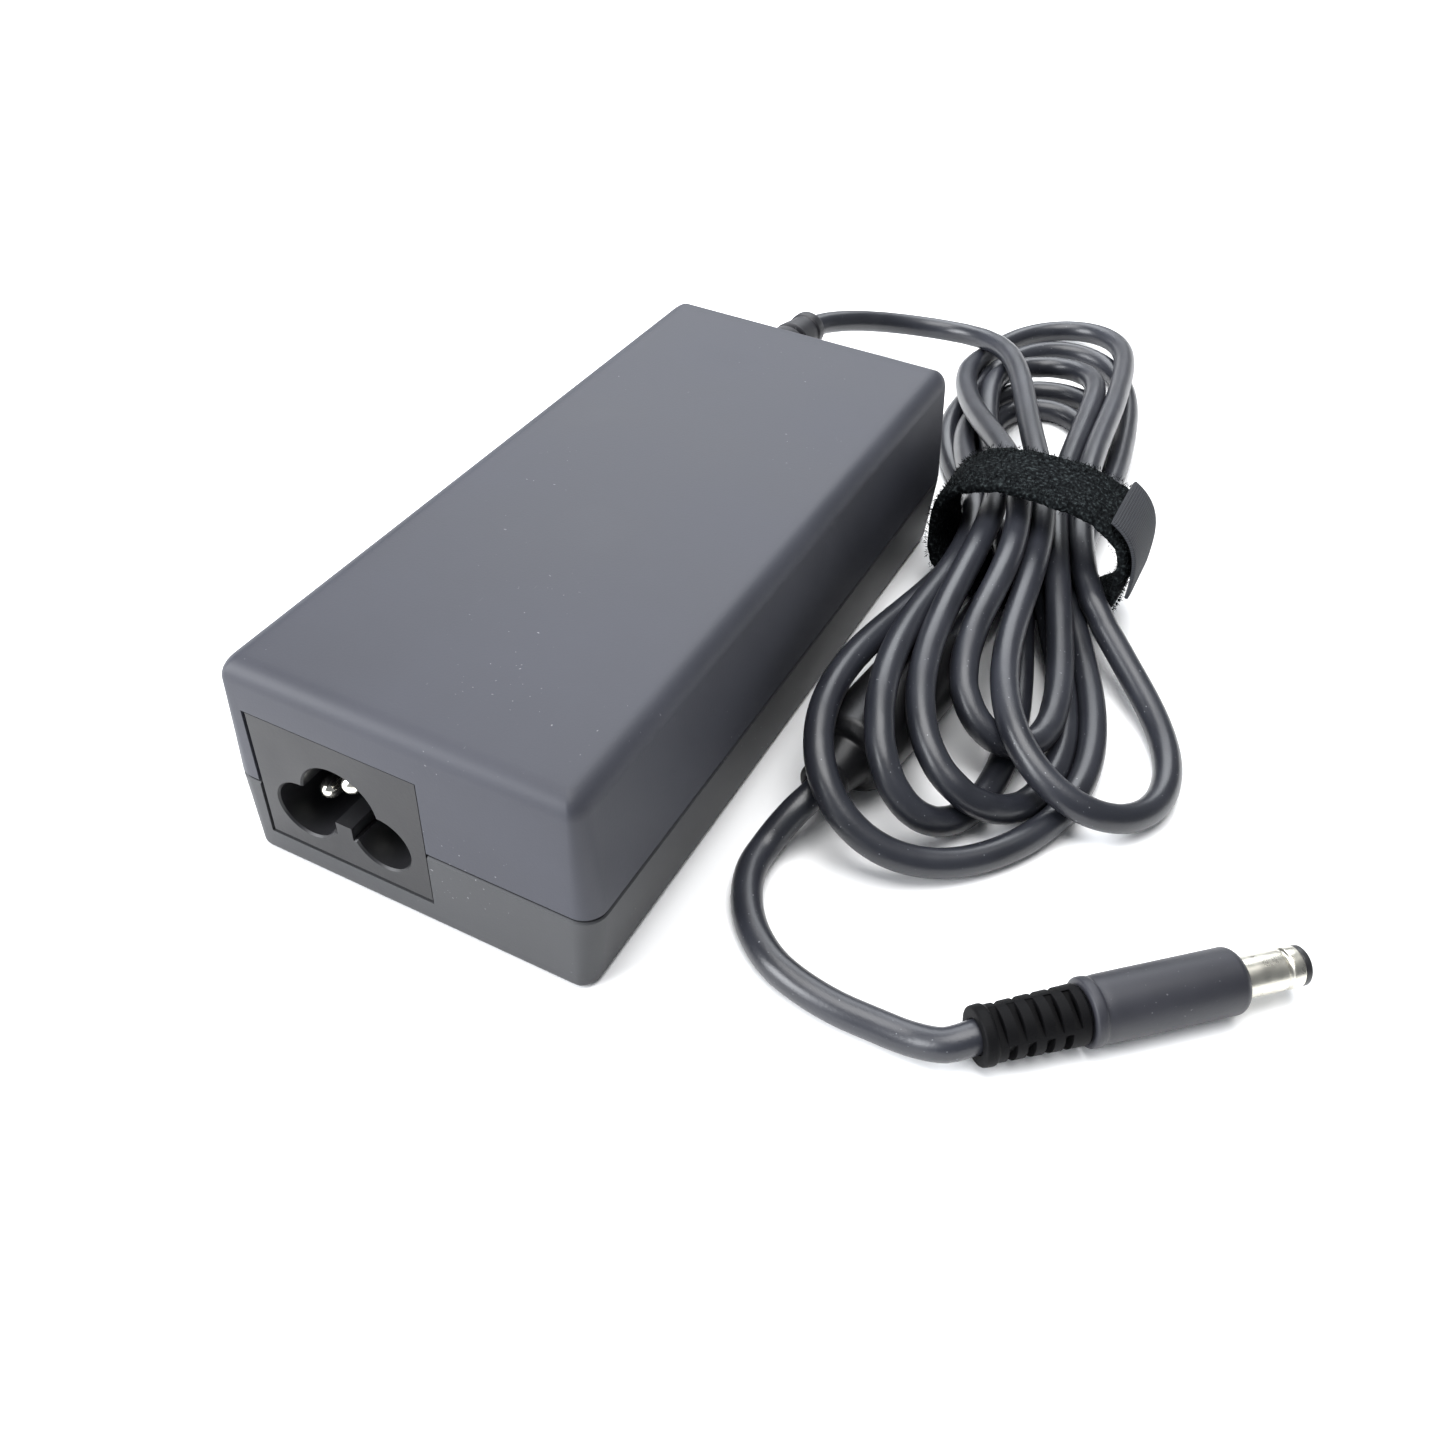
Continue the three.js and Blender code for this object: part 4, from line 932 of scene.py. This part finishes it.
def strap():
    """A band round the squared oval, with a flat rounded section, a ragged edge and a pile of short hairs."""
    rng = np.random.default_rng(7)
    around, section = 220, 28
    angle = evenly_round(0, 360, around + 1)[:-1, None]
    turn = full_turn(section)[None, :]
    across, depth = squared(turn, 0.45)
    ragged = 0.16 * np.sin(9 * angle + 1) + 0.12 * np.sin(23 * angle) + 0.08 * rng.normal(size=(around, 1))
    grow = -STRAP_THICKNESS / 2 + depth * STRAP_THICKNESS / 2 - 0.1 + 0.08 * np.sin(5 * angle)
    x, z = oval(angle, grow)
    y = across * (STRAP_WIDTH / 2 - 0.25) + ragged * np.abs(across) * np.sign(across)
    band = make_piece("hook_loop_band", on_strap(x, y, z), ring_quads(around, section, closed=True), sharp=80)
    count = 5200
    spot = evenly_round(0, 360, count)
    place = rng.uniform(-1, 1, count)
    place = np.sign(place) * np.abs(place) ** 0.6
    inside = rng.random(count) < 0.22
    x, z = oval(spot, np.where(inside, -STRAP_THICKNESS, -0.12))
    roots = on_strap(x, place * (STRAP_WIDTH / 2 - 0.3), z)
    x_after, z_after = oval(spot + 0.001, 0)
    x_before, z_before = oval(spot - 0.001, 0)
    outward = unit(np.stack([z_after - z_before, np.zeros(count), x_before - x_after], axis=-1))
    outward = np.where(inside[:, None], -outward, outward)
    edge = np.clip((np.abs(place) - 0.9) / 0.1, 0, 1)[:, None] * np.sign(place)[:, None]
    outward = unit(outward + edge * np.array([0, 1.5, 0]))
    above = roots[:, 2] > 0.9
    lengths = rng.uniform(0.2, 0.5, count)[above]
    hairs, faces = pile_fibres(roots[above], outward[above], lengths, rng)
    hairs[:, 2] = np.maximum(hairs[:, 2], 0.03)
    pile = make_piece("pile", hairs, faces)
    return show(join(band, [pile]), "strap_fuzz", "hook_loop_strap")


def strap_tab():
    """The woven end, a thin curved band on the outside of the strap with rounded edges and its own UV."""
    steps, section = 60, 20
    angle = evenly_round(-4, 52, steps)[:, None]
    turn = full_turn(section)[None, :]
    across, depth = squared(turn, 0.4)
    lift = 0.35 + 0.4 + depth * 0.34
    x, z = oval(angle, lift)
    points = on_strap(x, across * (STRAP_WIDTH / 2 - 0.25), z)
    faces = ring_quads(steps, section) + end_caps(steps, section)
    tab = make_piece("woven_end_tab", points, faces, sharp=60)
    corner = np.zeros(len(tab.data.loops), int)
    tab.data.loops.foreach_get("vertex_index", corner)
    spots = np.zeros(len(tab.data.vertices) * 3)
    tab.data.vertices.foreach_get("co", spots)
    spots = spots.reshape(-1, 3) / MM - STRAP_CENTRE
    along = np.arctan2(spots[:, 2] / STRAP_RISE, spots[:, 0] / STRAP_SPAN) * (STRAP_SPAN + STRAP_RISE) / 4
    uv = np.stack([along, spots[:, 1]], axis=1)[corner]
    tab.data.uv_layers.new(name="weave").data.foreach_set("uv", uv.ravel())
    return show(tab, "strap_weave", "strap_end_tab")


# ---------------------------------------------------------------- housing
WIDTH, LENGTH, HEIGHT = 46, 98.4, 27.5
PARTING = 11.2
CORNER, TOP_ROUND, BOTTOM_ROUND = 2.7, 2.4, 1.2
UPPER_DRAFT, LOWER_DRAFT = 5, 4.5
WALL, LIP_WALL, LIP_HEIGHT = 2, 0.9, 1.6
SEAM = 0.3
FRONT = -LENGTH / 2
INLET_X, INLET_WIDTH, INLET_LOW, INLET_HIGH, INLET_DEPTH = -8.2, 22, 3.6, 21.6, 16.5
INLET_LEFT, INLET_RIGHT = INLET_X - INLET_WIDTH / 2, INLET_X + INLET_WIDTH / 2


def lean_in(z, draft_degrees):
    return np.abs(z - PARTING) * np.tan(np.radians(draft_degrees))


def brick_rings(levels, draft):
    """Rounded rectangles, one per (inset, height). Their side walls lean in away from the joint, and on the
    end faces the corner's edge stays upright. Each quarter arc has a support point beyond both ends."""
    inset, height = (np.asarray(levels, float).T[:, :, None, None])
    steps = 12
    turn = np.radians(90 * np.arange(4)[:, None] + np.linspace(0, 90, steps + 1)[None, :])
    radius = np.maximum(CORNER - inset, 0.35)
    sign_x, sign_y = np.array([1, -1, -1, 1])[:, None], np.array([1, 1, -1, -1])[:, None]
    half_x, half_y = WIDTH / 2 - inset, LENGTH / 2 - inset
    x = sign_x * (half_x - radius) + radius * np.cos(turn)
    y = sign_y * (half_y - radius) + radius * np.sin(turn)
    support = 0.8
    ahead, behind = turn[:, :1], turn[:, -1:]
    first_x, last_x = x[..., :1] + support * np.sin(ahead), x[..., -1:] - support * np.sin(behind)
    first_y, last_y = y[..., :1] - support * np.cos(ahead), y[..., -1:] + support * np.cos(behind)
    x = np.concatenate([first_x, x, last_x], axis=-1)
    y = np.concatenate([first_y, y, last_y], axis=-1)
    half, reach = WIDTH / 2, CORNER
    from_end = np.clip((LENGTH / 2 - np.abs(y)) / reach, 0, 1)
    corner = np.clip((np.abs(x) - (half - inset) + reach) / reach, 0, 1)
    side = from_end**2 * (3 - 2 * from_end) * np.minimum(1, np.abs(x) / (half - 2 * reach))
    x = x - np.sign(x) * lean_in(height, draft) * np.maximum(corner, side)
    z = np.broadcast_to(height, x.shape)
    return np.stack([x, y, z], axis=-1).reshape(len(inset), -1, 3)


def quarter(inset, height, radius, rise, steps=8):
    """Levels round a quarter circle, from the upright wall onto the flat face; rise is 1 up or -1 down."""
    t = np.linspace(0, np.pi / 2, steps + 1)
    return [(inset + radius * (1 - np.cos(a)), height + rise * radius * np.sin(a)) for a in t]


def shell(name, levels, draft):
    rings = brick_rings(levels, draft)
    faces = ring_quads(*rings.shape[:2]) + end_caps(*rings.shape[:2])
    return make_piece(name, rings, faces, sharp=35)


def inlet_room(name):
    return block(name, (INLET_LEFT, FRONT - 1, INLET_LOW), (INLET_RIGHT, FRONT + INLET_DEPTH, INLET_HIGH))


def relief_hole(name):
    return turned_piece(name, [(3.95, -WALL - 1), (3.95, 1)], 48, moved(RELIEF_SPOT))


def top_shell():
    """From the flat top over its rounded edge, down to the joint, and up again inside."""
    edge = PARTING + SEAM / 2
    rounded = quarter(0, HEIGHT - TOP_ROUND, TOP_ROUND, 1)
    outside = [(0, edge + 0.2), (0, edge + 2), *rounded, (TOP_ROUND + 1, HEIGHT)]
    lip, lip_top = WALL - LIP_WALL - FIT, PARTING + LIP_HEIGHT + FIT
    roof = quarter(WALL, HEIGHT - WALL - 1, 1, 1, 4)
    inside = [(0.2, edge), (lip, edge), (lip, lip_top), (WALL, lip_top), *roof]
    piece = shell("top_shell_moulding", [*outside[::-1], *inside], UPPER_DRAFT)
    carve(piece, [inlet_room("inlet_room"), relief_hole("relief_hole")], sharp=35)
    return show(piece, "housing_upper", "top_shell")


def bottom_shell():
    """From the flat underside round its edge, up to the joint, up the tongue and down again inside."""
    edge = PARTING - SEAM / 2
    rounded = quarter(0, BOTTOM_ROUND, BOTTOM_ROUND, -1)[::-1]
    outside = [(BOTTOM_ROUND + 1, 0), *rounded, (0, edge - 2), (0, edge - 0.2)]
    tongue = WALL - LIP_WALL
    inside = [(0.2, edge), (tongue, edge), (tongue, PARTING + LIP_HEIGHT), (WALL, PARTING + LIP_HEIGHT),
              *quarter(WALL, WALL + 1, 1, -1, 4)]
    piece = shell("bottom_shell_moulding", [*outside, *inside], LOWER_DRAFT)
    label = block("label_room", (-15.3, -30.3, -1), (15.3, 30.3, 0.5))
    carve(piece, [inlet_room("inlet_room"), relief_hole("relief_hole"), label], sharp=35)
    return show(piece, "housing_lower", "bottom_shell")


# ---------------------------------------------------------------- mains inlet
PIN_HEIGHT, PIN_PITCH, PIN_RADIUS = 9.75, 10, 1.2
EARTH_RISE, EARTH_DROP = 4.4, 1.15
RECESS = 13.5


def recess_tool(name, x, z, radius):
    """A cutter for one lobe, flared at the mouth so that the edge gets a small chamfer."""
    profile = [(radius + 1, -1), (radius + 0.22, 0), (radius + 0.2, 0.05), (radius, 0.3), (radius, RECESS)]
    return turned_piece(name, profile, 64, moved((x, FRONT, z)))


def inlet_body():
    """The panel in the housing's front with its cloverleaf recess, the rib between its lower lobes, and the
    barrel behind it."""
    gap = FIT
    left_gap = 0.45
    y0 = FRONT + 0.05
    body = block("inlet_moulding", (INLET_LEFT + left_gap, y0, INLET_LOW + left_gap),
                 (INLET_RIGHT - gap * 0.5, FRONT + WALL + 0.6, INLET_HIGH - gap * 0.5))
    barrel_tool = block("inlet_barrel", (INLET_LEFT + 1.6, FRONT + 1, INLET_LOW + 1.2),
                        (INLET_RIGHT - 1.6, FRONT + INLET_DEPTH, INLET_HIGH - 1.2))
    carve(body, [barrel_tool], "UNION")
    lobe, earth_lobe = 3.65, 4.8
    left = recess_tool("left_lobe", INLET_X - PIN_PITCH / 2, PIN_HEIGHT, lobe)
    right = recess_tool("right_lobe", INLET_X + PIN_PITCH / 2, PIN_HEIGHT, lobe)
    earth = recess_tool("earth_lobe", INLET_X, PIN_HEIGHT + EARTH_RISE - EARTH_DROP, earth_lobe)
    rib = block("rib", (INLET_X - 1.05, FRONT - 2, 0), (INLET_X + 1.05, FRONT + RECESS + 2, 10))
    carve(earth, [rib], sharp=30)
    carve(body, [left, right, earth], sharp=30)
    return show(body, "inlet_plastic", "inlet_body")


def contact_pin(name, x, z, setback, node):
    """A round pin with a domed tip and a thinner solder tail down through the board."""
    start, end = FRONT + setback, FRONT + INLET_DEPTH + 2.6
    dome = [(PIN_RADIUS * np.sin(t), PIN_RADIUS * (1 - np.cos(t))) for t in np.linspace(0.05, np.pi / 2, 10)]
    profile = [*dome, (PIN_RADIUS, end - start - 0.2), (PIN_RADIUS - 0.2, end - start)]
    pin = turned_piece(name, profile, 32, moved((x, start, z)))
    stem = block("stem", (x - 0.5, end - 1.1, 4.2), (x + 0.5, end - 0.1, z))
    return show(join(pin, [stem]), "pin_metal", node)


# ---------------------------------------------------------------- assembly
INNER_FINISHES = {
    "rating_label": "label_sheet", "circuit_board": "board_laminate", "fuse": "component_black",
    "x_capacitor": "component_yellow", "filter_core": "ferrite", "filter_winding_left": "copper_wire",
    "filter_winding_right": "copper_wire", "inrush_thermistor": "component_green",
    "bridge_rectifier": "component_black", "bulk_capacitor": "capacitor_sleeve",
    "primary_heatsink": "heatsink_metal", "power_switch": "component_black", "y_capacitor": "component_blue",
    "control_chip": "component_black", "optocoupler": "component_white", "transformer_core": "ferrite",
    "transformer_coil": "coil_tape", "secondary_heatsink": "heatsink_metal",
    "output_diode": "component_black",
    "output_capacitor_front": "capacitor_sleeve", "output_capacitor_rear": "capacitor_sleeve",
    "insulating_sheet": "insulating_film", "output_wire_left": "wire_black", "output_wire_right": "wire_red",
    "choke_core": "ferrite",
}


def finish_inner_nodes():
    """The parts inside keep their CAD shape and get their finish."""
    for node, slot in INNER_FINISHES.items():
        coat(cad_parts[node], slot)


place_camera()
cord, centre_line = output_cord(lay_cord())
light_the_studio()
lay_floor()
plug_pieces = [plug_boot(), plug_body(), *barrel()]
choke_piece = choke()
strain_relief()
strap()
strap_tab()
top_shell()
bottom_shell()
inlet_body()
contact_pin("line_contact", INLET_X - PIN_PITCH / 2, PIN_HEIGHT, 2.9, "line_pin")
contact_pin("neutral_contact", INLET_X + PIN_PITCH / 2, PIN_HEIGHT, 2.9, "neutral_pin")
contact_pin("earth_contact", INLET_X, PIN_HEIGHT + EARTH_RISE, 1.4, "earth_pin")
finish_inner_nodes()
